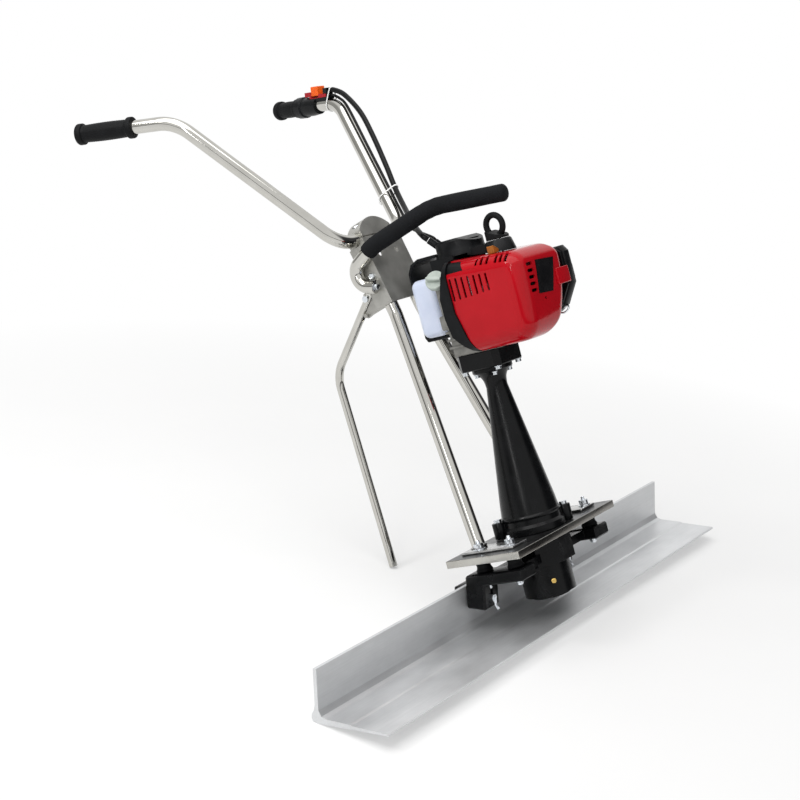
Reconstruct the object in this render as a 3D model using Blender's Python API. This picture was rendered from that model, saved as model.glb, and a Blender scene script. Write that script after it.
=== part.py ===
"""Power screed: a clip-on vibrating blade driven by a small vertical-shaft engine, parked on its kickstand.

Three working frames are used. The blade frame has the sole flat on z = 0, X along the blade and +Y
towards the operator. The head frame sits on the base plate's top face and is tilted with it. The
bracket frame sits on the front face of the handle bracket and leans with the frame poles. Everything
is turned into the parked pose, heel and kickstand foot on the floor, as the last step.
"""
import math

import bmesh
import bpy
from mathutils import Matrix, Vector

GAP = 0.0003

# Blade
BLADE_LENGTH = 1.2
SOLE_DEPTH = 0.1303
SOLE_LIP = 0.0032
FLANGE_HEIGHT = 0.0906
FLANGE_THICK = 0.0065
FLANGE_LEAN = 0.0027
HEEL_BACK = 0.0148

# Base plate and the head frame that sits on it
PLATE_TILT = math.radians(12.8)
PLATE_Y = -0.0504
PLATE_Z = 0.1541
PLATE_LENGTH = 0.3525
PLATE_WIDTH = 0.152
PLATE_THICK = 0.0132
PLATE_BORE = 0.030
AXIS_V = -0.007

# Isolators and the bolts that run through foot, plate, isolator and yoke
MOUNT_X = 0.136
MOUNT_V = (0.027, -0.038)
FOOT_THICK = 0.005
ISOLATOR_RADIUS = 0.0150
ISOLATOR_HEIGHT = 0.0202
BOLT_RADIUS = 0.0039
BOLT_HOLE = 0.0046
STUD_REACH = 0.0105
HEX_RADIUS = 0.0074
HEX_HEIGHT = 0.0056

# Exciter yoke, its two clamp arms and its bore
YOKE_TOP = -PLATE_THICK - ISOLATOR_HEIGHT - 2 * GAP
YOKE_THICK = 0.022
YOKE_BOTTOM = YOKE_TOP - YOKE_THICK
ARM_INNER_X = 0.112
ARM_OUTER_X = 0.160
ARM_FRONT_V = -0.062
JAW_FRONT_Y = -0.042
JAW_BACK_Y = -0.0031
JAW_BOTTOM_Z = 0.050
CLAMP_Z = 0.068
REAR_JAW_THICK = 0.014
BOSS_RADIUS = 0.060
BOSS_TOP = -0.0165
BOSS_BOTTOM = -0.060
EXCITER_RADIUS = 0.047
EXCITER_BOTTOM = -0.1165
CHAMBER_RADIUS = 0.031
CHAMBER_TOP = -0.052
BEARING_RADIUS = 0.024
BEARING_TOP = -0.036
THROAT_RADIUS = 0.018
BORE_SIDES = 20
COVER_THICK = 0.005
COVER_RADIUS = 0.036
PLUG_W = -0.0895

# Drive line
SHAFT_RADIUS = 0.008
COUPLING_RADIUS = 0.0155
COUPLING_SPAN = (-0.014, 0.030)
COUPLING_SPLIT = 0.007
DRIVE_RADIUS = 0.006
DRUM_RADIUS = 0.036
SHOE_RADIUS = 0.0318
HUB_RADIUS = 0.0115

# Cone housing
CONE_FOOT_RADIUS = 0.0585
CONE_BASE_RADIUS = 0.0535
CONE_NECK_RADIUS = 0.0195
CONE_NECK_BORE = 0.0125
CONE_TOP_W = 0.3052
CONE_NECK_W = CONE_TOP_W - 0.0372
CONE_TOP_RADIUS = 0.037
EAR_REACH = 0.0625
EAR_RADIUS = 0.0115
EAR_HEIGHT = 0.030

# Engine, drawn with its seat at ENGINE_SEAT and lifted on to the cone's top
ENGINE_V = -0.0195
ENGINE_SEAT = 0.3052
ENGINE_LIFT = CONE_TOP_W - ENGINE_SEAT
ADAPTOR_HEIGHT = 0.0313
ADAPTOR_SPAN = (ENGINE_SEAT + GAP, ENGINE_SEAT + ADAPTOR_HEIGHT)
ADAPTOR_HALF = 0.0445
ADAPTOR_BORE = 0.039
DRUM_SPAN = (ENGINE_SEAT + 0.0038, ENGINE_SEAT + 0.0278)
CRANKCASE_HEIGHT = 0.0832
CRANKCASE_SPAN = (ADAPTOR_SPAN[1] + GAP, ADAPTOR_SPAN[1] + GAP + CRANKCASE_HEIGHT)
CRANKCASE_HALF = 0.056
CRANKCASE_V = (-0.055, 0.048)
SHROUD_X = (-0.088, 0.071)
SHROUD_FRONT = -0.148
SHROUD_SPAN = (0.338, 0.506)
SHROUD_WALL = 0.003
SHROUD_ROUND = 0.030
COWL_FALL = 0.095
BAND_DEPTH = 0.0225
BAND_BEND = (0.0, 0.415)
BAND_FOOT = (-0.0205, 0.336)
TANK_X = (-0.056, 0.050)
TANK_V = (0.0525, 0.1045)
TANK_BASE = 0.3795
TANK_HEIGHT = 0.1055
TANK_W = (TANK_BASE, TANK_BASE + TANK_HEIGHT)
FILLER_DROP = 0.037
GUARD_X = (-0.031, 0.056)
FAN_RADIUS = 0.034
RECOIL_SPAN = (0.5065, 0.541)
RECOIL_RADIUS = 0.0435
RECOIL_RIM = 0.0475
RING_SEAT = 0.5200
PEDESTAL_RADIUS = 0.0235
PEDESTAL_FOOT = 0.0285
ROPE_X = -0.015
ROPE_V = -0.0765
ROPE_RADIUS = 0.0022
ROPE_LENGTH = 0.060
PULL = (-0.62, -0.25, 0.74)
RING_RADIUS = 0.0165
RING_WIRE = 0.0055

# Handle bracket frame, on the outer front face at its lower edge
BRACKET_LEAN = math.radians(25.9)
BRACKET_Y = 0.174
BRACKET_Z = 0.576
BRACKET_HALF = 0.0585
BRACKET_DEPTH = 0.038
BRACKET_HEIGHT = 0.118
SHEET = 0.003
TUBE_RADIUS = 0.0125
TUBE_BORE = 0.0105
POLE_FOOT_X = 0.116
POLE_FOOT_V = 0.040
POLE_X = BRACKET_HALF - SHEET - TUBE_RADIUS - GAP
POLE_PERP = SHEET + TUBE_RADIUS + GAP
POLE_KINK = -0.020
POLE_TOP = 0.085
POLE_BOLT_ALONG = 0.058

# Handlebar, in the blade frame except where it crosses the bracket
BAR_PERP = 0.020
BAR_ALONG = 0.131
BAR_HALF = 0.102
BAR_ELBOW = (0.248, 0.480, 0.923)
BAR_END = (0.2969, 0.6628, 0.9117)
CAP_HALF = 0.048
CAP_EDGE = 0.1460
CAP_CROWN = 0.1660
CAP_PERP = (0.004, 0.036)
CAP_BOLT_X = 0.030
CAP_SPLIT = 0.0015
GRIP_RADIUS = 0.0162
GRIP_LENGTH = 0.108
TWIST_LENGTH = 0.068
CONTROL_SPAN = (0.0685, 0.112)
CONTROL_TAIL = 0.131
CONTROL_TOP = 0.0145
SWITCH_SPAN = (0.119, 0.141)
SWITCH_TOP = 0.0386
SWITCH_TRAVEL = 0.003
POD_SPAN = (0.1563, 0.1675)
CABLE_RISE = 0.0267
LEAD_RISE = 0.0172

# Carry handle path in the blade frame
CARRY_X = -BRACKET_HALF - TUBE_RADIUS - GAP
CARRY_PATH = ((CARRY_X, 0.199, 0.604), (CARRY_X, 0.277, 0.603), (CARRY_X, 0.200, 0.677),
              (-0.015, 0.104, 0.740), (0.0, -0.034, 0.761))
CARRY_BENDS = (0.025, 0.060, 0.090)
FOAM_RADIUS = 0.0158

# Kickstand, in the plane x = 0 of the blade frame
KICK_PIVOT = (0.2665, 0.571)
KICK_BEND = (0.355, 0.4224)
KICK_FOOT = (0.2594, 0.054)
KICK_RADIUS = 0.008
KICK_BORE = 0.0056
LUG_HALF = 0.003
LUG_PIN = 0.0040

# Throttle cable and switch lead, in the blade frame
CABLE_RADIUS = 0.0052
LEAD_RADIUS = 0.0028
CABLE_ENTRY = ((-0.0115, 0.0365, 0.5330), (-0.0175, 0.0500, 0.5500))
LEAD_ENTRY = ((0.0050, 0.0370, 0.5330), (0.0050, 0.0490, 0.5460))


def frame_matrix(tilt, y, z):
    """Frame whose second axis points back and down and whose third axis points up and back."""
    return Matrix.Translation((0.0, y, z)) @ Matrix.Rotation(-tilt, 4, "X")


HEAD = frame_matrix(PLATE_TILT, PLATE_Y, PLATE_Z)
SHAFT = HEAD @ Matrix.Translation((0.0, AXIS_V, 0.0))
ENGINE = HEAD @ Matrix.Translation((0.0, ENGINE_V, ENGINE_LIFT))
CRANK = SHAFT @ Matrix.Translation((0.0, 0.0, ENGINE_LIFT))
BRACKET = frame_matrix(BRACKET_LEAN, BRACKET_Y, BRACKET_Z)
BLADE = Matrix.Identity(4)

PARTS = []


def clear_scene():
    for item in list(bpy.data.objects):
        bpy.data.objects.remove(item, do_unlink=True)


def new_solid(verts, faces, frame=BLADE):
    mesh = bpy.data.meshes.new("solid")
    mesh.from_pydata([tuple(v) for v in verts], [], faces)
    mesh.transform(frame)
    solid = bpy.data.objects.new("solid", mesh)
    bpy.context.scene.collection.objects.link(solid)
    face_outwards(solid)
    return solid


def face_outwards(solid):
    work = bmesh.new()
    work.from_mesh(solid.data)
    bmesh.ops.recalc_face_normals(work, faces=work.faces)
    work.to_mesh(solid.data)
    work.free()


def round_edges(solid, width, steps=2, limit=30.0):
    work = bmesh.new()
    work.from_mesh(solid.data)
    sharp = [e for e in work.edges if e.calc_face_angle(0.0) > math.radians(limit)]
    bmesh.ops.bevel(work, geom=sharp, offset=width, segments=steps, profile=0.5,
                    affect="EDGES", clamp_overlap=True)
    work.to_mesh(solid.data)
    work.free()
    return solid


def box(low, high, frame=BLADE, rounding=0.0, steps=2):
    corners = [(x, y, z) for z in (low[2], high[2]) for y in (low[1], high[1]) for x in (low[0], high[0])]
    faces = [(0, 2, 3, 1), (4, 5, 7, 6), (0, 1, 5, 4), (2, 6, 7, 3), (0, 4, 6, 2), (1, 3, 7, 5)]
    solid = new_solid(corners, faces, frame)
    if rounding > 0.0:
        round_edges(solid, rounding, steps)
    return solid


def prism(outline, low, high, axis, frame=BLADE):
    """Extrude a flat outline along one axis of the frame."""
    def point(a, b, t):
        if axis == "X":
            return (t, a, b)
        if axis == "Y":
            return (a, t, b)
        return (a, b, t)

    count = len(outline)
    verts = [point(a, b, low) for a, b in outline] + [point(a, b, high) for a, b in outline]
    faces = [tuple(range(count)), tuple(range(2 * count - 1, count - 1, -1))]
    for i in range(count):
        j = (i + 1) % count
        faces.append((i, i + count, j + count, j))
    return new_solid(verts, faces, frame)


def lathe(profile, sides, frame=SHAFT, turn=0.0):
    """Revolve a profile of (radius, height) about the frame's third axis.

    A profile that starts and ends on the axis makes a full body; any other profile is closed into a ring.
    """
    on_axis = profile[0][0] == 0.0 and profile[-1][0] == 0.0
    verts = []
    rings = []
    for radius, height in profile:
        if radius == 0.0:
            rings.append([len(verts)] * sides)
            verts.append((0.0, 0.0, height))
            continue
        rings.append(list(range(len(verts), len(verts) + sides)))
        for k in range(sides):
            angle = turn + 2.0 * math.pi * k / sides
            verts.append((radius * math.cos(angle), radius * math.sin(angle), height))
    faces = []
    last = len(rings) - 1 if on_axis else len(rings)
    for i in range(last):
        upper = rings[i]
        lower = rings[(i + 1) % len(rings)]
        for k in range(sides):
            n = (k + 1) % sides
            corners = [upper[k], upper[n], lower[n], lower[k]]
            face = []
            for c in corners:
                if c not in face:
                    face.append(c)
            if len(face) > 2:
                faces.append(tuple(face))
    return new_solid(verts, faces, frame)


def ring(outer, inner, low, high, sides, frame=SHAFT):
    return lathe([(outer, low), (outer, high), (inner, high), (inner, low)], sides, frame)


def disc(radius, low, high, sides, frame=SHAFT):
    return lathe([(0.0, low), (radius, low), (radius, high), (0.0, high)], sides, frame)


def axis_frame(start, towards, frame=BLADE):
    """Frame at start whose third axis points along towards, both given in the outer frame."""
    direction = Vector(towards).normalized()
    turn = Vector((0.0, 0.0, 1.0)).rotation_difference(direction).to_matrix().to_4x4()
    return frame @ Matrix.Translation(Vector(start)) @ turn


def rod(start, end, radius, sides=16, frame=BLADE):
    span = Vector(end) - Vector(start)
    return disc(radius, 0.0, span.length, sides, axis_frame(start, span, frame))


def rounded_path(points, radii, steps=6):
    """Polyline with each inner corner replaced by an arc of the given radius."""
    points = [Vector(p) for p in points]
    path = [points[0]]
    for i in range(1, len(points) - 1):
        back = (points[i - 1] - points[i]).normalized()
        ahead = (points[i + 1] - points[i]).normalized()
        half = back.angle(ahead) / 2.0
        reach = radii[i - 1] / math.tan(half)
        centre = points[i] + (back + ahead).normalized() * (radii[i - 1] / math.sin(half))
        first = (points[i] + back * reach - centre).normalized()
        last = (points[i] + ahead * reach - centre).normalized()
        for k in range(steps + 1):
            path.append(centre + first.slerp(last, k / steps) * radii[i - 1])
    path.append(points[-1])
    return path


def smooth_path(points, per_span=8):
    """Catmull-Rom curve through the points."""
    points = [Vector(p) for p in points]
    ends = [points[0] * 2.0 - points[1]] + points + [points[-1] * 2.0 - points[-2]]
    path = []
    for i in range(1, len(ends) - 2):
        a, b, c, d = ends[i - 1], ends[i], ends[i + 1], ends[i + 2]
        for k in range(per_span):
            t = k / per_span
            step = (c - a) * t + (a * 2.0 - b * 5.0 + c * 4.0 - d) * t * t
            step += (b * 3.0 - a - c * 3.0 + d) * t * t * t
            path.append(b + step * 0.5)
    path.append(points[-1])
    return path


def sweep(path, radius, sides=16, bore=0.0, frame=BLADE, radii=None, closed=False):
    """Round bar or tube along a path, with flat ends."""
    path = [Vector(p) for p in path]
    count = len(path)
    tangents = []
    for i in range(count):
        before = path[(i - 1) % count] if closed or i > 0 else path[i]
        after = path[(i + 1) % count] if closed or i < count - 1 else path[i]
        tangents.append((after - before).normalized())
    side = tangents[0].orthogonal().normalized()
    verts = []
    layers = [[], []]
    for i in range(count):
        side = (side - tangents[i] * side.dot(tangents[i])).normalized()
        other = tangents[i].cross(side)
        outer = radius if radii is None else radii[i]
        for layer, reach in ((0, outer), (1, bore)):
            if reach <= 0.0:
                continue
            layers[layer].append(list(range(len(verts), len(verts) + sides)))
            for k in range(sides):
                angle = 2.0 * math.pi * k / sides
                verts.append(path[i] + (side * math.cos(angle) + other * math.sin(angle)) * reach)
    faces = []
    for rows in layers:
        spans = len(rows) if closed else len(rows) - 1
        for i in range(max(spans, 0)):
            here = rows[i]
            there = rows[(i + 1) % len(rows)]
            for k in range(sides):
                n = (k + 1) % sides
                faces.append((here[k], here[n], there[n], there[k]))
    if closed:
        return new_solid(verts, faces, frame)
    for end in (0, -1):
        if bore <= 0.0:
            faces.append(tuple(layers[0][end]))
            continue
        for k in range(sides):
            n = (k + 1) % sides
            faces.append((layers[0][end][k], layers[0][end][n], layers[1][end][n], layers[1][end][k]))
    return new_solid(verts, faces, frame)


def loft(levels, frame=BLADE):
    """Closed skin through stacked outlines with the same number of points."""
    count = len(levels[0])
    verts = [point for level in levels for point in level]
    last = count * (len(levels) - 1)
    faces = [tuple(range(count)), tuple(range(last + count - 1, last - 1, -1))]
    for i in range(len(levels) - 1):
        for k in range(count):
            n = (k + 1) % count
            low = i * count
            high = low + count
            faces.append((low + k, low + n, high + n))
            faces.append((low + k, high + n, high + k))
    return new_solid(verts, faces, frame)


def boolean(target, tool, operation):
    modifier = target.modifiers.new("shape", "BOOLEAN")
    modifier.operation = operation
    modifier.solver = "EXACT"
    modifier.object = tool
    bpy.context.view_layer.update()
    graph = bpy.context.evaluated_depsgraph_get()
    mesh = bpy.data.meshes.new_from_object(target.evaluated_get(graph))
    target.modifiers.clear()
    old = target.data
    target.data = mesh
    bpy.data.meshes.remove(old)
    bpy.data.objects.remove(tool, do_unlink=True)
    return target


def fuse(target, *tools):
    for tool in tools:
        boolean(target, tool, "UNION")
    return target


def cut(target, *tools):
    for tool in tools:
        boolean(target, tool, "DIFFERENCE")
    return target


def joined(solids):
    """Several separate cutters as one object."""
    work = bmesh.new()
    for solid in solids:
        work.from_mesh(solid.data)
    work.to_mesh(solids[0].data)
    work.free()
    for solid in solids[1:]:
        bpy.data.objects.remove(solid, do_unlink=True)
    return solids[0]


def mirrored(solid):
    """Copy of a body on the other side of the plane x = 0."""
    copy = bpy.data.objects.new("solid", solid.data.copy())
    bpy.context.scene.collection.objects.link(copy)
    copy.data.transform(Matrix.Diagonal((-1.0, 1.0, 1.0, 1.0)))
    face_outwards(copy)
    return copy


def material(name, colour, roughness, metallic):
    made = bpy.data.materials.get(name)
    if made is None:
        made = bpy.data.materials.new(name)
        made.use_nodes = True
        shader = made.node_tree.nodes["Principled BSDF"]
        shader.inputs["Base Color"].default_value = (colour[0], colour[1], colour[2], 1.0)
        shader.inputs["Roughness"].default_value = roughness
        shader.inputs["Metallic"].default_value = metallic
    return made


def aluminium():
    return material("aluminium", (0.62, 0.63, 0.64), 0.38, 1.0)


def black_casting():
    return material("black_casting", (0.012, 0.013, 0.014), 0.35, 0.0)


def black_plastic():
    return material("black_plastic", (0.016, 0.017, 0.019), 0.48, 0.0)


def rubber():
    return material("rubber", (0.014, 0.014, 0.015), 0.75, 0.0)


def foam():
    return material("foam", (0.020, 0.021, 0.024), 0.85, 0.0)


def chrome():
    return material("chrome", (0.80, 0.80, 0.78), 0.12, 1.0)


def zinc_steel():
    return material("zinc_steel", (0.66, 0.68, 0.70), 0.28, 1.0)


def machined_steel():
    return material("machined_steel", (0.48, 0.48, 0.49), 0.35, 1.0)


def cast_alloy():
    return material("cast_alloy", (0.42, 0.42, 0.40), 0.55, 1.0)


def red_plastic():
    return material("red_plastic", (0.55, 0.012, 0.022), 0.22, 0.0)


def orange_plastic():
    return material("orange_plastic", (0.85, 0.16, 0.02), 0.40, 0.0)


def white_plastic():
    return material("white_plastic", (0.80, 0.83, 0.90), 0.40, 0.0)


def grey_plastic():
    return material("grey_plastic", (0.36, 0.40, 0.37), 0.45, 0.0)


def white_nylon():
    return material("white_nylon", (0.85, 0.84, 0.82), 0.45, 0.0)


def brass():
    return material("brass", (0.72, 0.50, 0.16), 0.30, 1.0)


def keep(solid, name, look, pivot=None):
    """Name a finished body; pivot is a point on its joint axis in the blade frame."""
    solid.name = name
    solid.data.name = name
    solid.data.materials.clear()
    solid.data.materials.append(look)
    PARTS.append((solid, None if pivot is None else Vector(pivot)))
    return solid


def head_point(x, v, w):
    return HEAD @ Vector((x, v, w))


def hex_bolt(grip, nut=0.0, head=HEX_HEIGHT, radius=HEX_RADIUS, shank=BOLT_RADIUS, frame=BLADE):
    """Bolt along the frame's third axis with its head above zero and its shank below."""
    profile = [(0.0, head), (radius * 0.86, head), (radius, head - 0.0008), (radius, 0.0), (shank, 0.0)]
    if nut > 0.0:
        profile += [(shank, -grip), (radius, -grip), (radius, -grip - nut)]
        profile += [(shank, -grip - nut), (shank, -grip - nut - 0.004), (0.0, -grip - nut - 0.004)]
    else:
        profile += [(shank, -grip), (0.0, -grip)]
    return lathe(profile, 6, frame)


def mount_points():
    return [(side * MOUNT_X, v) for side in (-1.0, 1.0) for v in MOUNT_V]


def at_head(x, v, w=0.0):
    return HEAD @ Matrix.Translation((x, v, w))


def build_blade():
    heel = HEEL_BACK
    outline = [(-SOLE_DEPTH, 0.0), (heel - 0.011, 0.0), (heel - 0.0033, 0.002), (heel, 0.0075),
               (heel - 0.0013, 0.0145), (heel - 0.0053, 0.021), (FLANGE_THICK, 0.030),
               (FLANGE_THICK - FLANGE_LEAN, FLANGE_HEIGHT), (-FLANGE_LEAN, FLANGE_HEIGHT), (0.0, 0.022),
               (-0.005, 0.0125), (-0.013, 0.0095), (-0.058, 0.0078), (-0.062, 0.0062),
               (0.002 - SOLE_DEPTH, SOLE_LIP), (-SOLE_DEPTH, SOLE_LIP - 0.0012)]
    solid = prism(outline, -BLADE_LENGTH / 2.0, BLADE_LENGTH / 2.0, "X")
    for side in (-1.0, 1.0):
        cut(solid, rod((side * MOUNT_X, -0.03, CLAMP_Z), (side * MOUNT_X, 0.04, CLAMP_Z), BOLT_HOLE, 12))
    keep(solid, "blade", aluminium())


def clamp_arm_outline():
    """Arm and front jaw in the blade frame's (y, z) plane."""
    def plane_v(y, w):
        return (y - PLATE_Y - w * math.sin(PLATE_TILT)) / math.cos(PLATE_TILT)

    def flat(v, w):
        point = head_point(0.0, v, w)
        return (point.y, point.z)

    return [flat(ARM_FRONT_V, YOKE_TOP), flat(ARM_FRONT_V, YOKE_BOTTOM),
            flat(plane_v(JAW_FRONT_Y, YOKE_BOTTOM), YOKE_BOTTOM), (JAW_FRONT_Y, JAW_BOTTOM_Z),
            (JAW_BACK_Y, JAW_BOTTOM_Z), flat(plane_v(JAW_BACK_Y, YOKE_TOP), YOKE_TOP)]


def build_exciter_housing():
    turn = math.pi / 8.0
    solid = lathe([(0.0, BOSS_BOTTOM), (BOSS_RADIUS, BOSS_BOTTOM), (BOSS_RADIUS, BOSS_TOP), (0.0, BOSS_TOP)],
                  8, SHAFT, turn)
    fuse(solid, disc(EXCITER_RADIUS, EXCITER_BOTTOM, BOSS_BOTTOM + 0.004, 28))
    web_low = (-ARM_INNER_X - 0.004, -0.036, YOKE_BOTTOM + 0.004)
    web_high = (ARM_INNER_X + 0.004, 0.022, YOKE_TOP - 0.002)
    fuse(solid, box(web_low, web_high, HEAD))
    arm = round_edges(prism(clamp_arm_outline(), ARM_INNER_X, ARM_OUTER_X, "X"), 0.003, 1)
    fuse(solid, mirrored(arm))
    fuse(solid, arm)
    bore = [(0.0, EXCITER_BOTTOM - 0.01), (CHAMBER_RADIUS, EXCITER_BOTTOM - 0.01), (CHAMBER_RADIUS, CHAMBER_TOP),
            (BEARING_RADIUS + GAP, CHAMBER_TOP), (BEARING_RADIUS + GAP, BEARING_TOP),
            (THROAT_RADIUS, BEARING_TOP), (THROAT_RADIUS, 0.0), (0.0, 0.0)]
    cut(solid, lathe(bore, BORE_SIDES))
    for x, v in mount_points():
        cut(solid, rod((x, v, YOKE_BOTTOM - 0.02), (x, v, YOKE_TOP + 0.01), BOLT_HOLE, 10, HEAD))
    for side in (-1.0, 1.0):
        cut(solid, rod((side * MOUNT_X, -0.06, CLAMP_Z), (side * MOUNT_X, 0.01, CLAMP_Z), BOLT_HOLE, 10))
    cut(solid, rod((0.0, 0.0, 0.0), (0.0, 0.0, EXCITER_RADIUS + 0.01), 0.0033, 10, plug_frame()))
    keep(solid, "exciter_housing", black_casting())


def plug_frame():
    """Radial frame on the exciter's near side, where the oil plug enters."""
    return axis_frame((0.0, 0.0, PLUG_W), (-0.72, -0.69, 0.0), SHAFT)


def build_oil_plug():
    top = EXCITER_RADIUS + 0.0004
    frame = plug_frame() @ Matrix.Translation((0.0, 0.0, top))
    solid = lathe([(0.0, 0.0045), (0.0030, 0.0045), (0.0048, 0.0036), (0.0048, 0.0), (0.0029, 0.0),
                   (0.0029, -0.012), (0.0, -0.012)], 6, frame)
    keep(solid, "oil_plug", brass())


def build_exciter_cover():
    top = EXCITER_BOTTOM - GAP
    solid = disc(COVER_RADIUS, top - COVER_THICK, top, 32)
    round_edges(solid, 0.0012, 1)
    keep(solid, "exciter_cover", black_casting())


def build_bearings():
    upper = ring(BEARING_RADIUS, SHAFT_RADIUS + GAP, CHAMBER_TOP + 0.002, BEARING_TOP - GAP, BORE_SIDES)
    keep(upper, "bearing_upper", machined_steel())
    low = EXCITER_BOTTOM + 0.0005
    lower = ring(CHAMBER_RADIUS - GAP, SHAFT_RADIUS + GAP, low, low + 0.014, BORE_SIDES)
    keep(lower, "bearing_lower", machined_steel())


def build_eccentric_shaft():
    solid = disc(SHAFT_RADIUS, EXCITER_BOTTOM + 0.001, COUPLING_SPLIT - 0.0005, 16)
    weight = disc(CHAMBER_RADIUS - 0.003, EXCITER_BOTTOM + 0.019, CHAMBER_TOP - 0.006, 24)
    cut(weight, box((-0.05, -0.05, -0.2), (0.05, 0.0, 0.0), SHAFT))
    fuse(solid, weight)
    keep(solid, "eccentric_shaft", machined_steel(), SHAFT @ Vector((0.0, 0.0, EXCITER_BOTTOM)))


def build_clamps():
    front = FLANGE_THICK + GAP
    back = front + REAR_JAW_THICK
    for side, hand in ((-1.0, "left"), (1.0, "right")):
        x = side * MOUNT_X
        jaw = box((x - 0.024, front, CLAMP_Z - 0.022), (x + 0.024, back, CLAMP_Z + 0.020), BLADE, 0.003)
        cut(jaw, rod((x, 0.0, CLAMP_Z), (x, 0.05, CLAMP_Z), BOLT_HOLE, 12))
        keep(jaw, "clamp_jaw_" + hand, black_casting())
        seat = JAW_FRONT_Y - GAP
        bolt = hex_bolt(back + GAP - seat, 0.0065, frame=axis_frame((x, seat, CLAMP_Z), (0.0, -1.0, 0.0)))
        y = seat - HEX_HEIGHT
        tail = smooth_path([(x, y, CLAMP_Z + 0.003), (x, y - 0.0003, CLAMP_Z - 0.008), (x + 0.001, y - 0.0015, CLAMP_Z - 0.0150),
                            (x + 0.0025, y - 0.0050, CLAMP_Z - 0.0205)], 2)
        fuse(bolt, sweep(tail, 0.0026, 6))
        keep(bolt, "clamp_bolt_" + hand, zinc_steel())


def build_isolators():
    top = -PLATE_THICK - GAP
    bottom = top - ISOLATOR_HEIGHT
    wide = ISOLATOR_RADIUS
    waist = ISOLATOR_RADIUS - 0.0025
    stud_top = FOOT_THICK + STUD_REACH
    stud_bottom = YOKE_BOTTOM - STUD_REACH
    names = ("isolator_left_back", "isolator_left_front", "isolator_right_back", "isolator_right_front")
    for name, (x, v) in zip(names, mount_points()):
        profile = [(0.0, stud_top), (BOLT_RADIUS, stud_top), (BOLT_RADIUS, top), (wide, top), (wide, top - 0.004),
                   (waist, top - 0.0075), (waist, bottom + 0.0075), (wide, bottom + 0.004), (wide, bottom),
                   (BOLT_RADIUS, bottom), (BOLT_RADIUS, stud_bottom), (0.0, stud_bottom)]
        keep(lathe(profile, 12, at_head(x, v)), name, rubber())


def ear_points():
    reach = EAR_REACH / math.sqrt(2.0)
    return [(-reach, AXIS_V + reach), (reach, AXIS_V - reach)]


def build_base_plate():
    half = PLATE_LENGTH / 2.0
    solid = box((-half, -PLATE_WIDTH / 2.0, -PLATE_THICK), (half, PLATE_WIDTH / 2.0, 0.0), HEAD, 0.0012, 1)
    cut(solid, disc(PLATE_BORE, -0.03, 0.03, 24))
    for x, v in mount_points():
        cut(solid, rod((x, v, -0.03), (x, v, 0.01), BOLT_HOLE, 12, HEAD))
    for x, v in ear_points():
        cut(solid, rod((x, v, -0.03), (x, v, 0.01), BOLT_HOLE, 12, HEAD))
    keep(solid, "base_plate", aluminium())


def build_cone():
    base = GAP
    slope = (CONE_NECK_RADIUS - CONE_BASE_RADIUS) / (CONE_NECK_W - 0.034)

    def skin(w):
        return CONE_BASE_RADIUS + slope * (w - 0.034)

    outer = [(CONE_FOOT_RADIUS, base), (CONE_FOOT_RADIUS, 0.014), (CONE_BASE_RADIUS + 0.0005, 0.0175),
             (CONE_BASE_RADIUS, 0.027), (CONE_BASE_RADIUS + 0.0006, 0.029), (CONE_BASE_RADIUS + 0.0006, 0.0325),
             (skin(0.036), 0.0345), (skin(0.10), 0.10), (skin(0.19), 0.19), (CONE_NECK_RADIUS, CONE_NECK_W),
             (CONE_NECK_RADIUS + 0.0015, CONE_NECK_W + 0.0130), (CONE_NECK_RADIUS + 0.006, CONE_NECK_W + 0.0215),
             (CONE_TOP_RADIUS - 0.006, CONE_TOP_W - 0.0090), (CONE_TOP_RADIUS, CONE_TOP_W - 0.0077),
             (CONE_TOP_RADIUS, CONE_TOP_W)]
    inner = [(CONE_NECK_BORE, CONE_TOP_W), (CONE_NECK_BORE, CONE_NECK_W), (CONE_BASE_RADIUS - 0.0075, 0.040),
             (CONE_BASE_RADIUS - 0.0075, base)]
    solid = lathe(outer + inner, 28)
    for x, v in ear_points():
        direction = Vector((x, v - AXIS_V, 0.0)).normalized()
        across = Vector((-direction.y, direction.x, 0.0))
        turn = Matrix((direction, across, Vector((0.0, 0.0, 1.0)))).transposed().to_4x4()
        radial = SHAFT @ turn
        fuse(solid, disc(EAR_RADIUS, base + 0.0006, EAR_HEIGHT, 14, at_head(x, v)))
        low = (CONE_BASE_RADIUS - 0.0042, -0.0082, base + 0.0012)
        fuse(solid, box(low, (EAR_REACH - 0.0004, 0.0082, EAR_HEIGHT - 0.0042), radial))
        cut(solid, rod((x, v, -0.01), (x, v, EAR_HEIGHT + 0.01), BOLT_HOLE, 12, HEAD))
    keep(solid, "cone_housing", black_casting())


def build_cone_bolts():
    seat = EAR_HEIGHT + GAP
    for name, (x, v) in zip(("cone_bolt_back", "cone_bolt_front"), ear_points()):
        keep(hex_bolt(seat + PLATE_THICK - 0.001, frame=at_head(x, v, seat)), name, zinc_steel())


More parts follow.
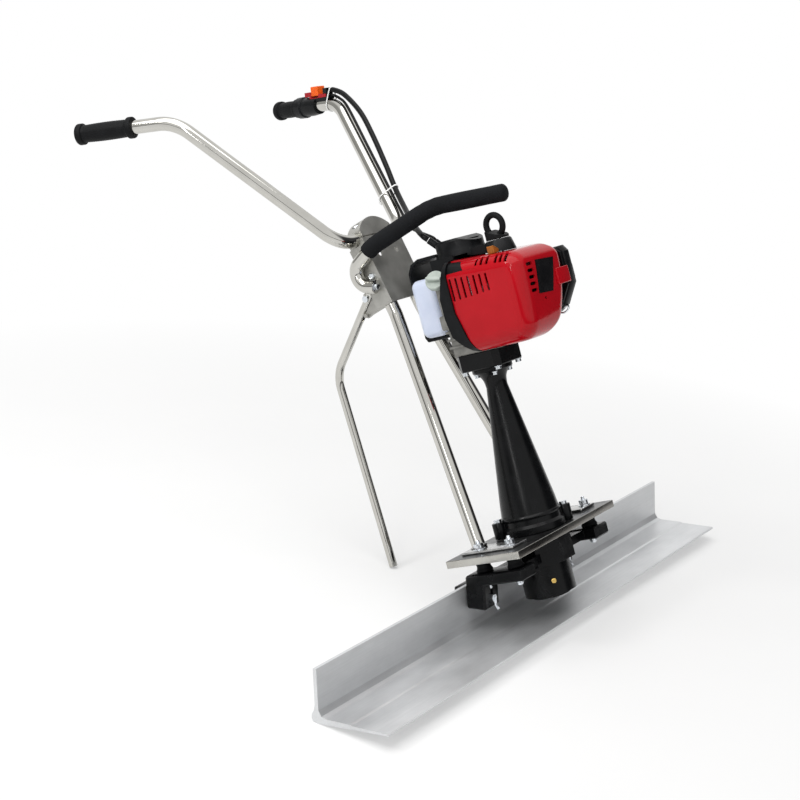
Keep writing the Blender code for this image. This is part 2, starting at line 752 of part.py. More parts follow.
def build_drive_line():
    low, high = COUPLING_SPAN
    sleeve = ring(COUPLING_RADIUS, SHAFT_RADIUS + GAP, low, high, 20)
    keep(sleeve, "drive_coupling", rubber(), SHAFT @ Vector((0.0, 0.0, low)))
    floor, rim = DRUM_SPAN
    end = ENGINE_LIFT + floor + 0.0045
    profile = [(0.0, COUPLING_SPLIT + 0.0005), (SHAFT_RADIUS, COUPLING_SPLIT + 0.0005), (SHAFT_RADIUS, 0.048),
               (DRIVE_RADIUS, 0.052), (DRIVE_RADIUS, end), (0.0, end)]
    keep(lathe(profile, 16), "drive_shaft", machined_steel(), SHAFT @ Vector((0.0, 0.0, 0.05)))
    bore = DRIVE_RADIUS + GAP
    wall = DRUM_RADIUS - 0.003
    drum = lathe([(bore, floor), (DRUM_RADIUS, floor), (DRUM_RADIUS, rim), (wall, rim), (wall, floor + 0.004),
                  (bore, floor + 0.004)], 28, CRANK)
    keep(drum, "clutch_drum", machined_steel(), CRANK @ Vector((0.0, 0.0, floor)))


def build_crank_line():
    low = DRUM_SPAN[0] + 0.006
    high = DRUM_SPAN[1] - 0.002
    bore = HUB_RADIUS + GAP
    axle = CRANK @ Vector((0.0, 0.0, low))
    rotor = ring(0.0200, bore, low, high, 20, CRANK)
    for start in (0.12, math.pi + 0.12):
        outline = []
        for k in range(9):
            angle = start + (math.pi - 0.24) * k / 8.0
            outline.append((SHOE_RADIUS * math.cos(angle), SHOE_RADIUS * math.sin(angle)))
        for k in range(8, -1, -1):
            angle = start + (math.pi - 0.24) * k / 8.0
            outline.append((0.0185 * math.cos(angle), 0.0185 * math.sin(angle)))
        fuse(rotor, prism(outline, low + 0.0012, high - 0.0012, "Z", CRANK))
    keep(rotor, "clutch_shoes", machined_steel(), axle)
    profile = [(0.0, low), (HUB_RADIUS, low), (HUB_RADIUS, high), (SHAFT_RADIUS, high), (SHAFT_RADIUS, 0.499),
               (0.0, 0.499)]
    keep(lathe(profile, 16, CRANK), "crankshaft", machined_steel(), axle)
    wheel = ring(FAN_RADIUS, SHAFT_RADIUS + GAP, 0.476, 0.483, 28, CRANK)
    blades = []
    for k in range(8):
        turn = CRANK @ Matrix.Rotation(k * math.pi / 4.0 + 0.2, 4, "Z")
        blades.append(box((0.018, -0.0014, 0.480), (FAN_RADIUS - 0.0015, 0.0014, 0.497), turn))
    fuse(wheel, *blades)
    keep(wheel, "flywheel_fan", cast_alloy(), axle)


def build_adaptor():
    low, high = ADAPTOR_SPAN
    h = ADAPTOR_HALF
    c = 0.010
    outline = [(-h + c, -h), (h - c, -h), (h, -h + c), (h, h - c), (h - c, h), (-h + c, h), (-h, h - c), (-h, -h + c)]
    solid = prism(outline, low, high, "Z", CRANK)
    round_edges(solid, 0.0015, 1, 60.0)
    cut(solid, disc(ADAPTOR_BORE, low - 0.01, high + 0.01, 28, CRANK))
    keep(solid, "engine_adaptor", black_casting())


def build_crankcase():
    low, high = CRANKCASE_SPAN
    h = CRANKCASE_HALF
    solid = box((-h, CRANKCASE_V[0], low), (h, CRANKCASE_V[1], high), ENGINE, 0.004)
    for share in (0.183, 0.351, 0.519):
        w = low + share * CRANKCASE_HEIGHT
        fuse(solid, box((-h - 0.004, 0.020, w), (h - 0.006, CRANKCASE_V[1] + 0.003, w + 0.0045), ENGINE, 0.001, 1))
    fuse(solid, box((-0.0755, 0.0215, high - 0.032), (-h + 0.006, 0.0460, high - 0.006), ENGINE, 0.003))
    fuse(solid, rod((-0.0630, 0.0340, high - 0.020), (-0.0640, 0.0345, 0.4660), 0.0092, 16, ENGINE))
    fuse(solid, rod((0.0, 0.0, -0.0020), (0.0, 0.0, 0.0072), 0.0115, 16, oil_cap_frame()))
    cut(solid, disc(SHAFT_RADIUS + GAP, low - 0.01, high + 0.02, 16, CRANK))
    keep(solid, "crankcase", cast_alloy())


def build_cylinder():
    back = CRANKCASE_V[0] - GAP
    fins = 6
    pitch = 0.0105
    core = 0.030
    reach = 0.040
    left = []
    right = []
    v = back
    for k in range(fins):
        front = v - 0.0035
        right += [(reach, v), (reach, front), (core, front), (core, v - pitch)]
        left += [(-reach, v), (-reach, front), (-core, front), (-core, v - pitch)]
        v -= pitch
    outline = right + left[::-1]
    middle = CRANKCASE_SPAN[1]
    solid = prism(outline, middle - 0.035, middle + 0.035, "Z", ENGINE)
    keep(solid, "cylinder_block", cast_alloy())


def cowl_level(w, inset, margin, back):
    """Plan of the cowl at one height; its front and right side draw in towards the bottom."""
    drop = max(0.0, 0.470 - w)
    left = SHROUD_X[0] + margin + inset
    far = SHROUD_X[1] - margin - inset
    right = far - 2.6 * drop * drop
    front = SHROUD_FRONT + margin + inset + 0.7 * drop * drop
    corner = SHROUD_ROUND - margin - 0.7 * inset
    points = [(left, back, w)]
    for middle, start in ((left + corner, 1.0), (right - corner, 1.5)):
        for k in range(6):
            angle = math.pi * (start + 0.1 * k)
            points.append((middle + corner * math.cos(angle), front + corner + corner * math.sin(angle), w))
    points.append((far, back, w))
    share = min(1.0, max(0.0, (w - 0.44) / 0.06))
    return [(x, v, height + COWL_FALL * share * min(v, 0.0)) for x, v, height in points]


def cowl_block(margin, back):
    low = SHROUD_SPAN[0] + margin
    high = SHROUD_SPAN[1] - margin
    radius = SHROUD_ROUND - margin
    turns = [math.pi * k / 8.0 for k in range(5)]
    rows = [(low + radius * (1.0 - math.cos(a)), radius * (1.0 - math.sin(a))) for a in turns]
    rows += [(w, 0.0) for w in (0.395, 0.422, 0.449)]
    rows += [(high - radius * (1.0 - math.cos(a)), radius * (1.0 - math.sin(a))) for a in turns[::-1]]
    return loft([cowl_level(w, inset, margin, back) for w, inset in rows], ENGINE)


def build_shroud():
    x0, x1 = SHROUD_X
    solid = cowl_block(0.0, 0.040)
    cut(solid, cowl_block(SHROUD_WALL, 0.060))
    behind = [(BAND_BEND[0], 0.7), BAND_BEND, BAND_FOOT, (BAND_FOOT[0] - 0.002, 0.3), (0.3, 0.3), (0.3, 0.7)]
    cut(solid, prism(behind, -0.2, 0.2, "X", ENGINE))
    reach = CRANKCASE_HALF + 0.0045 + GAP
    opening = box((-reach, CRANKCASE_V[0] - 0.003, 0.30), (0.1, 0.1, CRANKCASE_SPAN[1] + 0.003), ENGINE)
    fuse(opening, box((x1 - 0.0312, -0.1123, 0.3883), (0.11, -0.0117, 0.4617), ENGINE))
    cut(solid, opening)
    fuse(solid, box((0.026, SHROUD_FRONT - 0.0022, 0.4160), (0.069, SHROUD_FRONT + 0.0022, 0.4450), ENGINE))
    slots = []
    for k in range(7):
        v = -0.0045 - 0.0123 * k
        slots.append(box((x0 - 0.01, v - 0.0021, 0.4340 + 0.0007 * k), (x0 + 0.01, v + 0.0021, 0.4745 - 0.0008 * k), ENGINE))
    for k in range(5):
        w = 0.4165 + 0.0115 * k
        slots.append(box((-0.0640, SHROUD_FRONT - 0.02, w), (-0.0440, SHROUD_FRONT + 0.012, w + 0.0058), ENGINE))
    top = SHROUD_SPAN[1]
    for v in (-0.0600, -0.0715, -0.0830, -0.1010, -0.1110, -0.1210):
        slots.append(box((x0 + 0.002, v - 0.0020, top - 0.014), (x0 + 0.019, v + 0.0020, top + 0.006), ENGINE))
    cut(solid, joined(slots))
    cut(solid, rope_hole())
    keep(solid, "engine_shroud", red_plastic())


def rounded_outline(x0, x1, w0, w1, radius, steps=5):
    centres = [(x1 - radius, w1 - radius, 0.0), (x0 + radius, w1 - radius, 0.5),
               (x0 + radius, w0 + radius, 1.0), (x1 - radius, w0 + radius, 1.5)]
    outline = []
    for cx, cw, start in centres:
        for k in range(steps + 1):
            angle = math.pi * (start + 0.5 * k / steps)
            outline.append((cx + radius * math.cos(angle), cw + radius * math.sin(angle)))
    return outline


def fan_band():
    """Black rim of the fan housing, behind the red cowl."""
    x0, x1 = SHROUD_X
    w0, w1 = SHROUD_SPAN
    solid = prism(rounded_outline(x0 - 0.004, x1 + 0.003, w0, w1 - 0.0005, 0.034), -0.05, BAND_DEPTH, "Y", ENGINE)
    cut(solid, prism(rounded_outline(x0 + 0.010, x1 - 0.009, w0 + 0.012, w1 - 0.005, 0.022), -0.1, 0.1, "Y", ENGINE))
    ahead = [(BAND_BEND[0] + GAP, 0.7), (BAND_BEND[0] + GAP, BAND_BEND[1]), (BAND_FOOT[0] + GAP, BAND_FOOT[1]),
             (BAND_FOOT[0] + GAP - 0.002, 0.3), (-0.3, 0.3), (-0.3, 0.7)]
    cut(solid, prism(ahead, -0.2, 0.2, "X", ENGINE))
    above = [(0.03, 0.441), (BAND_DEPTH + 0.001, 0.441), (0.010, 0.480), (0.006, 0.507), (0.006, 0.53), (0.03, 0.53)]
    cut(solid, prism(above, -0.2, 0.2, "X", ENGINE))
    below = [(0.03, 0.4126), (BAND_DEPTH + 0.001, 0.4126), (0.017, 0.3745), (-0.004, 0.348), (-0.0175, 0.333),
             (-0.0175, 0.3), (0.03, 0.3)]
    cut(solid, prism(below, -0.2, 0.2, "X", ENGINE))
    reach = CRANKCASE_HALF + 0.0045 + GAP
    cut(solid, box((-reach, -0.1, 0.30), (reach, 0.05, CRANKCASE_SPAN[1] + 0.003), ENGINE))
    return solid


def build_muffler():
    solid = box((-0.0820, -0.1180, 0.3650), (-0.0435, CRANKCASE_V[0] - 0.0035, 0.4520), ENGINE, 0.007)
    keep(solid, "muffler", machined_steel())


def air_cleaner_outline(margin):
    """Side view of the air cleaner with its lower front corner drawn in."""
    m = margin
    return [(-0.142 + m, 0.412), (-0.142 + m, 0.470), (-0.134 + m, 0.481 - m), (-0.032, 0.481 - m), (-0.026 - m, 0.474),
            (-0.026 - m, 0.376), (-0.034, 0.366 + m), (-0.100, 0.366 + m), (-0.118 + m, 0.376)]


def build_air_cleaner():
    x1 = SHROUD_X[1]
    case = prism(air_cleaner_outline(0.004), x1 + 0.0045, x1 + 0.0105, "X", ENGINE)
    cover = round_edges(prism(air_cleaner_outline(0.0), x1 + 0.0108, x1 + 0.0320, "X", ENGINE), 0.0045, 2, 60.0)
    fuse(cover, box((x1 + 0.0280, -0.1350, 0.4180), (x1 + 0.0440, -0.0950, 0.4470), ENGINE, 0.003))
    keep(case, "air_cleaner_case", black_plastic())
    keep(cover, "air_cleaner_cover", black_plastic())
    carb = box((0.0415, -0.1040, 0.3960), (x1 + 0.0040, -0.0640, 0.4360), ENGINE, 0.003)
    keep(carb, "carburettor", cast_alloy())


def pedestal():
    """Round block that carries the starter handle, and the bridge that ties it to the starter's dome."""
    seat = RING_SEAT - GAP
    low = SHROUD_SPAN[0]
    spot = ENGINE @ Matrix.Translation((ROPE_X, ROPE_V, 0.0))
    solid = lathe([(0.0, low), (PEDESTAL_FOOT, low), (PEDESTAL_FOOT, seat - 0.024), (PEDESTAL_RADIUS, seat - 0.0025),
                   (PEDESTAL_RADIUS - 0.0025, seat), (0.0, seat)], 24, spot)
    half = PEDESTAL_RADIUS * 0.55
    fuse(solid, box((ROPE_X - half, ROPE_V, low + 0.01), (ROPE_X + half, -0.018, seat - 0.003), ENGINE))
    deck = SHROUD_SPAN[1] + 0.0006
    below = [(-0.2, low - 0.05), (0.1, low - 0.05), (0.1, deck + 0.1 * COWL_FALL), (-0.2, deck - 0.2 * COWL_FALL)]
    return cut(solid, prism(below, -0.1, 0.1, "X", ENGINE))


def build_recoil():
    low, high = RECOIL_SPAN
    dome = RECOIL_RADIUS
    solid = lathe([(0.0, low), (RECOIL_RIM, low), (RECOIL_RIM, low + 0.0075), (dome + 0.0004, 0.5205),
                   (dome, high - 0.004), (dome - 0.003, high), (0.0, high)], 28, CRANK)
    slope = [(-0.016, 0.6), (-0.016, high + 0.0003), (-0.044, high - 0.0115), (-0.07, high - 0.0115), (-0.07, 0.6)]
    cut(solid, prism(slope, -0.1, 0.1, "X", CRANK))
    fuse(solid, pedestal())
    skirt_back = TANK_V[0] - 0.0010
    fuse(solid, box((-0.049, 0.0020, 0.4300), (0.060, skirt_back, low + 0.006), ENGINE))
    cut(solid, box((-0.046, -0.02, 0.4200), (0.057, skirt_back - 0.0030, low + 0.004), ENGINE))
    fuse(solid, fan_band())
    fuse(solid, rod(CABLE_ENTRY[0], CABLE_ENTRY[1], CABLE_RADIUS + 0.0012, 12, CRANK))
    fuse(solid, rod(LEAD_ENTRY[0], LEAD_ENTRY[1], LEAD_RADIUS + 0.0010, 10, CRANK))
    cut(solid, disc(FAN_RADIUS + 0.003, low - 0.004, high - 0.006, 24, CRANK))
    cut(solid, rope_hole())
    ribs = []
    for k in range(5):
        x = -0.024 + 0.012 * k
        ribs.append(box((x - 0.0022, -0.012, high - 0.0025), (x + 0.0022, 0.028, high + 0.01), CRANK))
    cut(solid, joined(ribs))
    keep(solid, "recoil_housing", black_plastic())


def rope_seat():
    """Point under the starter handle where the rope leaves the housing, in the head frame."""
    return Vector((ROPE_X, ROPE_V, RING_SEAT))


def rope_hole():
    return disc(ROPE_RADIUS + 0.0012, -ROPE_LENGTH - 0.02, 0.02, 10, axis_frame(rope_seat(), PULL, ENGINE))


def build_recoil_handle():
    seat = rope_seat().z
    centre = seat + RING_RADIUS * 1.1 + RING_WIRE + 0.0006
    loop = []
    for k in range(16):
        angle = 2.0 * math.pi * k / 16.0
        loop.append((ROPE_X, ROPE_V + RING_RADIUS * math.cos(angle), centre + RING_RADIUS * 1.1 * math.sin(angle)))
    solid = sweep(loop, RING_WIRE, 8, frame=ENGINE, closed=True)
    fuse(solid, rod((ROPE_X, ROPE_V, seat), (ROPE_X, ROPE_V, centre - RING_RADIUS), 0.0066, 14, ENGINE))
    hold = ENGINE @ rope_seat()
    keep(solid, "recoil_handle", rubber(), hold)
    rope = disc(ROPE_RADIUS, -ROPE_LENGTH, -2.5 * ROPE_RADIUS, 10, axis_frame(rope_seat(), PULL, ENGINE))
    keep(rope, "recoil_rope", white_nylon(), hold)


def oil_cap_frame():
    return axis_frame((-0.0640, 0.0345, 0.4705), (-0.86, -0.20, 0.47), ENGINE)


def build_oil_cap():
    frame = oil_cap_frame()
    solid = lathe([(0.0, 0.0), (0.0150, 0.0), (0.0170, 0.003), (0.0170, 0.0105), (0.0155, 0.0125), (0.0, 0.0125)],
                  24, frame @ Matrix.Translation((0.0, 0.0, 0.0075)))
    fuse(solid, box((-0.0026, -0.0135, 0.0185), (0.0026, 0.0135, 0.0270), frame, 0.0012, 1))
    keep(solid, "oil_cap", grey_plastic(), frame @ Vector((0.0, 0.0, 0.0)))


def build_tank():
    solid = box((TANK_X[0], TANK_V[0], TANK_W[0]), (TANK_X[1], TANK_V[1], TANK_W[1]), ENGINE, 0.013, 4)
    filler = TANK_W[1] - FILLER_DROP
    middle = (TANK_V[0] + TANK_V[1]) / 2.0
    fuse(solid, rod((TANK_X[1] - 0.004, middle, filler), (TANK_X[1] + 0.0070, middle, filler), 0.0150, 20, ENGINE))
    keep(solid, "fuel_tank", white_plastic())
    frame = axis_frame((TANK_X[1] + 0.0070 + GAP, middle, filler), (1.0, 0.0, 0.0), ENGINE)
    cap = lathe([(0.0, 0.0), (0.0185, 0.0), (0.0185, 0.012), (0.0165, 0.014), (0.0, 0.014)], 24, frame)
    fuse(cap, box((-0.0025, -0.0150, 0.010), (0.0025, 0.0150, 0.0195), frame))
    keep(cap, "fuel_cap", black_plastic(), frame @ Vector((0.0, 0.0, 0.0)))


def build_guard():
    front, back = TANK_V
    low = TANK_BASE - 0.0005
    top = RECOIL_SPAN[0] + 0.0100
    outline = [(front - 0.0010, low - 0.0065), (back + 0.0075, low - 0.0065), (back + 0.0120, low + 0.0020),
               (back + 0.0120, top - 0.0170), (back + 0.0025, top - 0.0010), (back - 0.0145, top + 0.0060),
               (front - 0.0225, top + 0.0060), (front - 0.0225, top), (back - 0.0160, top), (back - 0.0010, top - 0.0060),
               (back + 0.0065, top - 0.0185), (back + 0.0065, low + 0.0050), (back + 0.0040, low), (front - 0.0010, low)]
    solid = prism(outline, GUARD_X[0], GUARD_X[1], "X", ENGINE)
    round_edges(solid, 0.0016, 1, 60.0)
    cut(solid, disc(RECOIL_RIM + 0.0006, RECOIL_SPAN[0] - 0.0165, RECOIL_SPAN[1] + 0.0190, 28, CRANK))
    keep(solid, "tank_guard", black_plastic())


def pole_path(side):
    foot = head_point(side * POLE_FOOT_X, POLE_FOOT_V, GAP + FOOT_THICK - 0.0006)
    kink = BRACKET @ Vector((side * POLE_X, POLE_PERP, POLE_KINK))
    top = BRACKET @ Vector((side * POLE_X, POLE_PERP, POLE_TOP))
    return rounded_path([foot, kink, top], [0.06], 4)


def build_poles():
    for side, name in ((-1.0, "frame_pole_left"), (1.0, "frame_pole_right")):
        near, far = sorted((side * 0.1005, side * 0.1505))
        solid = box((near, -0.051, GAP), (far, 0.058, GAP + FOOT_THICK), HEAD, 0.0012, 1)
        fuse(solid, sweep(pole_path(side), TUBE_RADIUS, 12, TUBE_BORE))
        for v in MOUNT_V:
            cut(solid, rod((side * MOUNT_X, v, -0.01), (side * MOUNT_X, v, 0.02), BOLT_HOLE, 12, HEAD))
        inner = (side * 0.03, POLE_PERP, POLE_BOLT_ALONG)
        outer = (side * 0.07, POLE_PERP, POLE_BOLT_ALONG)
        cut(solid, rod(inner, outer, 0.0036, 10, BRACKET))
        keep(solid, name, chrome())


def kick_local(point):
    p = BRACKET.inverted() @ Vector((0.0, point[0], point[1]))
    return Vector((p.y, p.z))


def kick_stop():
    """Centre of the stop bar the leg leans on, in the bracket frame's (perp, along) plane."""
    pivot = kick_local(KICK_PIVOT)
    run = (kick_local(KICK_BEND) - pivot).normalized()
    front = Vector((run.y, -run.x))
    if front.x > 0.0:
        front = -front
    return pivot + run * 0.030 + front * (KICK_RADIUS + 0.004 + GAP)


def build_bracket():
    h = BRACKET_HALF
    d = BRACKET_DEPTH
    outline = [(-h, 0.0), (h, 0.0), (h, d), (h - SHEET, d), (h - SHEET, SHEET), (SHEET - h, SHEET),
               (SHEET - h, d), (-h, d)]
    solid = prism(outline, 0.0, BRACKET_HEIGHT, "Z", BRACKET)
    saddle = box((0.002 - h, 0.001, BAR_ALONG - 0.026), (h - 0.002, CAP_PERP[1], BAR_ALONG - CAP_SPLIT), BRACKET)
    cut(saddle, rod((-0.1, BAR_PERP, BAR_ALONG), (0.1, BAR_PERP, BAR_ALONG), TUBE_RADIUS + GAP, 24, BRACKET))
    for side in (-1.0, 1.0):
        x = side * CAP_BOLT_X
        cut(saddle, rod((x, BAR_PERP, 0.09), (x, BAR_PERP, 0.20), 0.0036, 10, BRACKET))
    fuse(solid, saddle)
    pivot = kick_local(KICK_PIVOT)
    stop = kick_stop()
    lug = [(0.0018, 0.008), (0.0018, 0.070), (pivot.x - 0.006, pivot.y + 0.015), (pivot.x + 0.006, pivot.y + 0.0105),
           (pivot.x + 0.0115, pivot.y + 0.002), (pivot.x + 0.0115, pivot.y - 0.010), (stop.x + 0.005, stop.y - 0.001),
           (stop.x + 0.001, stop.y - 0.0055), (stop.x - 0.010, stop.y - 0.004), (0.050, 0.006)]
    fuse(solid, prism(lug, -LUG_HALF, LUG_HALF, "X", BRACKET))
    fuse(solid, rod((-0.009, stop.x, stop.y), (0.009, stop.x, stop.y), 0.004, 12, BRACKET))
    cut(solid, rod((-0.02, pivot.x, pivot.y), (0.02, pivot.x, pivot.y), LUG_PIN + GAP, 14, BRACKET))
    for side in (-1.0, 1.0):
        cut(solid, rod((side * 0.0261, -0.02, 0.0926), (side * 0.0261, 0.02, 0.0926), 0.0056, 16, BRACKET))
        inner = (side * 0.03, POLE_PERP, POLE_BOLT_ALONG)
        outer = (side * 0.09, POLE_PERP, POLE_BOLT_ALONG)
        cut(solid, rod(inner, outer, 0.0036, 10, BRACKET))
    keep(solid, "handle_bracket", zinc_steel())
    for side, hand in ((-1.0, "left"), (1.0, "right")):
        seat = (side * (BRACKET_HALF + GAP), POLE_PERP, POLE_BOLT_ALONG)
        frame = axis_frame(seat, (side, 0.0, 0.0), BRACKET)
        bolt = hex_bolt(0.0105, head=0.0048, radius=0.0062, shank=0.0032, frame=frame)
        keep(bolt, "pole_bolt_" + hand, zinc_steel())


def build_kickstand():
    pivot = Vector((0.0, KICK_PIVOT[0], KICK_PIVOT[1]))
    bend = Vector((0.0, KICK_BEND[0], KICK_BEND[1]))
    foot = Vector((0.0, KICK_FOOT[0], KICK_FOOT[1]))
    run = (bend - pivot).normalized()
    path = rounded_path([pivot - run * 0.0125, bend, foot], [0.07], 5)
    solid = sweep(path, KICK_RADIUS, 12, KICK_BORE)
    slot = axis_frame(pivot, run)
    cut(solid, box((-LUG_HALF - GAP, -0.02, -0.03), (LUG_HALF + GAP, 0.02, 0.046), slot))
    cut(solid, rod(pivot - Vector((0.02, 0.0, 0.0)), pivot + Vector((0.02, 0.0, 0.0)), LUG_PIN + GAP, 14))
    keep(solid, "kickstand_leg", chrome(), pivot)
    end = KICK_RADIUS + 0.0022
    across = axis_frame(pivot, (1.0, 0.0, 0.0))
    head = 0.0062
    pin = lathe([(0.0, -end - 0.0035), (head, -end - 0.0035), (head, -end), (LUG_PIN, -end), (LUG_PIN, end), (head, end),
                 (head, end + 0.0035), (0.0, end + 0.0035)], 14, across)
    keep(pin, "kickstand_pin", zinc_steel())


def bar_point(side, share):
    """Point on the straight grip end of the handlebar, measured from its tip."""
    tip = Vector((side * BAR_END[0], BAR_END[1], BAR_END[2]))
    elbow = Vector((side * BAR_ELBOW[0], BAR_ELBOW[1], BAR_ELBOW[2]))
    return tip + (elbow - tip).normalized() * share


def grip_frame(side):
    """Frame at a handlebar tip: third axis along the bar towards the elbow, second axis roughly up."""
    tip = bar_point(side, 0.0)
    along = (bar_point(side, 0.1) - tip).normalized()
    up = Vector((0.0, 0.0, 1.0))
    up = (up - along * up.dot(along)).normalized()
    across = up.cross(along)
    turn = Matrix((across, up, along)).transposed().to_4x4()
    return Matrix.Translation(tip) @ turn


def bar_centre(x):
    return BRACKET @ Vector((x, BAR_PERP, BAR_ALONG))


def build_handlebar():
    ends = []
    for side in (-1.0, 1.0):
        ends.append([bar_point(side, 0.0), Vector((side * BAR_ELBOW[0], BAR_ELBOW[1], BAR_ELBOW[2])),
                     bar_centre(side * BAR_HALF)])
    points = ends[0] + ends[1][::-1]
    path = rounded_path(points, [0.075, 0.055, 0.055, 0.075], 4)
    solid = sweep(path, TUBE_RADIUS, 12, TUBE_BORE)
    for side in (-1.0, 1.0):
        x = side * CAP_BOLT_X
        cut(solid, rod((x, BAR_PERP, 0.09), (x, BAR_PERP, 0.18), 0.0036, 10, BRACKET))
    keep(solid, "handlebar", chrome())


def build_bar_clamp():
    low, high = CAP_PERP
    rise = CAP_CROWN - CAP_EDGE
    radius = (CAP_HALF * CAP_HALF + rise * rise) / (2.0 * rise)
    outline = [(-CAP_HALF, BAR_ALONG + CAP_SPLIT), (CAP_HALF, BAR_ALONG + CAP_SPLIT)]
    for k in range(13):
        x = CAP_HALF - 2.0 * CAP_HALF * k / 12.0
        outline.append((x, CAP_CROWN - radius + math.sqrt(radius * radius - x * x)))
    cap = prism(outline, low, high, "Y", BRACKET)
    cut(cap, rod((-0.1, BAR_PERP, BAR_ALONG), (0.1, BAR_PERP, BAR_ALONG), TUBE_RADIUS + GAP, 24, BRACKET))
    seat = CAP_EDGE + 0.006
    grip = seat - BAR_ALONG + 0.026 + 2 * GAP
    for side, hand in ((-1.0, "left"), (1.0, "right")):
        x = side * CAP_BOLT_X
        hole = [(0.0, 0.09), (0.0036, 0.09), (0.0036, seat), (0.0088, seat), (0.0088, 0.20), (0.0, 0.20)]
        cut(cap, lathe(hole, 12, BRACKET @ Matrix.Translation((x, BAR_PERP, 0.0)), 0.2))
        frame = BRACKET @ Matrix.Translation((x, BAR_PERP, seat + GAP))
        bolt = hex_bolt(grip, 0.005, radius=0.0064, shank=0.0032, frame=frame)
        keep(bolt, "bar_clamp_bolt_" + hand, zinc_steel())
    keep(cap, "bar_clamp_cap", zinc_steel())


def grip_profile(length):
    inner = TUBE_RADIUS + GAP
    lip = GRIP_RADIUS + 0.0032
    return [(0.0, -0.0055), (GRIP_RADIUS - 0.002, -0.0055), (lip - 0.001, -0.003), (lip, 0.001), (lip, 0.006),
            (GRIP_RADIUS, 0.0095), (GRIP_RADIUS, length - 0.012), (lip, length - 0.0075), (lip, length - 0.001),
            (lip - 0.001, length), (inner, length), (inner, -GAP), (0.0, -GAP)]


def build_grips():
    left = lathe(grip_profile(GRIP_LENGTH), 18, grip_frame(-1.0))
    keep(left, "grip_left", rubber())
    right = lathe(grip_profile(TWIST_LENGTH), 18, grip_frame(1.0))
    keep(right, "throttle_grip", rubber(), bar_point(1.0, 0.0))


def build_controls():
    frame = grip_frame(1.0)
    start, end = CONTROL_SPAN
    inner = TUBE_RADIUS + GAP
    solid = lathe([(0.0, start), (0.0215, start), (0.0215, start + 0.018), (0.0190, start + 0.020), (0.0190, end),
                   (0.0170, CONTROL_TAIL), (0.0, CONTROL_TAIL)], 24, frame)
    cut(solid, box((-0.03, CONTROL_TOP - 0.0005, end), (0.03, 0.03, CONTROL_TAIL + 0.01), frame))
    fuse(solid, box((-0.0105, 0.0065, start + 0.004), (0.0105, CONTROL_TOP, POD_SPAN[1]), frame))
    fuse(solid, box((-0.0085, 0.0085, POD_SPAN[0]), (0.0085, CABLE_RISE + 0.0062, POD_SPAN[1] - GAP), frame))
    cut(solid, rod((0.0, 0.0, start - 0.01), (0.0, 0.0, POD_SPAN[1] + 0.02), inner, 20, frame))
    keep(solid, "throttle_housing", black_plastic())
    low = CONTROL_TOP + GAP
    floor = low + 0.0014
    first, last = SWITCH_SPAN
    stop = POD_SPAN[0] - GAP
    base = box((-0.0095, low, end + GAP), (0.0095, 0.0225, stop), frame)
    cut(base, box((-0.02, floor, first - GAP), (0.02, 0.04, last + GAP), frame))
    fuse(base, box((-0.0090, 0.0196, end - 0.0145), (0.0090, 0.0285, first - 0.0012), frame))
    fuse(base, box((-0.0106, low + 0.0004, stop - 0.0040), (-0.0089, 0.0215, POD_SPAN[1] - 0.0010), frame))
    keep(base, "switch_base", red_plastic())
    rest = floor + SWITCH_TRAVEL + 0.0004
    button = box((-0.0100, rest, first), (0.0100, SWITCH_TOP, last), frame, 0.0012, 1)
    keep(button, "kill_switch", orange_plastic(), frame @ Vector((0.0, rest, (first + last) / 2.0)))


def beside_bar(reach):
    """Points along the right arm of the handlebar, held off its outer side."""
    start = bar_point(1.0, POD_SPAN[0])
    elbow = Vector(BAR_ELBOW)
    lower = bar_centre(BAR_HALF)
    path = rounded_path([start, elbow, lower], [0.075], 2)
    last = path.pop()
    for share in (0.35, 0.7, 0.88):
        path.append(path[3].lerp(last, share))
    plane = (elbow - start).cross(lower - elbow)
    points = []
    for i in range(len(path)):
        tangent = path[min(i + 1, len(path) - 1)] - path[max(i - 1, 0)]
        points.append(path[i] + tangent.cross(plane).normalized() * reach)
    return points[2:]


def entry_end(entry):
    """Last two points of a line that meets its socket on the starter housing squarely."""
    root = CRANK @ Vector(entry[0])
    mouth = CRANK @ Vector(entry[1])
    away = (mouth - root).normalized()
    return [mouth + away * 0.012, mouth + away * 0.0016]


def build_cables():
    frame = grip_frame(1.0)
    end = POD_SPAN[1] + GAP
    first = frame @ Vector((0.0, CABLE_RISE, end))
    second = frame @ Vector((0.0, CABLE_RISE, end + 0.014))
    points = [first, second, (0.243, 0.458, 0.938), (0.222, 0.409, 0.904), (0.196, 0.366, 0.860),
              (0.164, 0.318, 0.803), (0.137, 0.281, 0.758), (0.096, 0.236, 0.727), (0.060, 0.202, 0.7130),
              (0.0235, 0.170, 0.7035), (-0.002, 0.145, 0.6960)] + entry_end(CABLE_ENTRY)
    path = smooth_path(points, 4)
    keep(sweep(path, CABLE_RADIUS, 8), "throttle_cable", rubber())
    lead = [frame @ Vector((0.0, LEAD_RISE, end + 0.0004)), frame @ Vector((0.0, LEAD_RISE, end + 0.008))]
    lead += beside_bar(TUBE_RADIUS + LEAD_RADIUS + 0.0016)
    lead += [(0.074, 0.2130, 0.6950), (0.036, 0.1700, 0.6900)] + entry_end(LEAD_ENTRY)
    keep(sweep(smooth_path(lead, 4), LEAD_RADIUS, 6), "switch_lead", rubber())


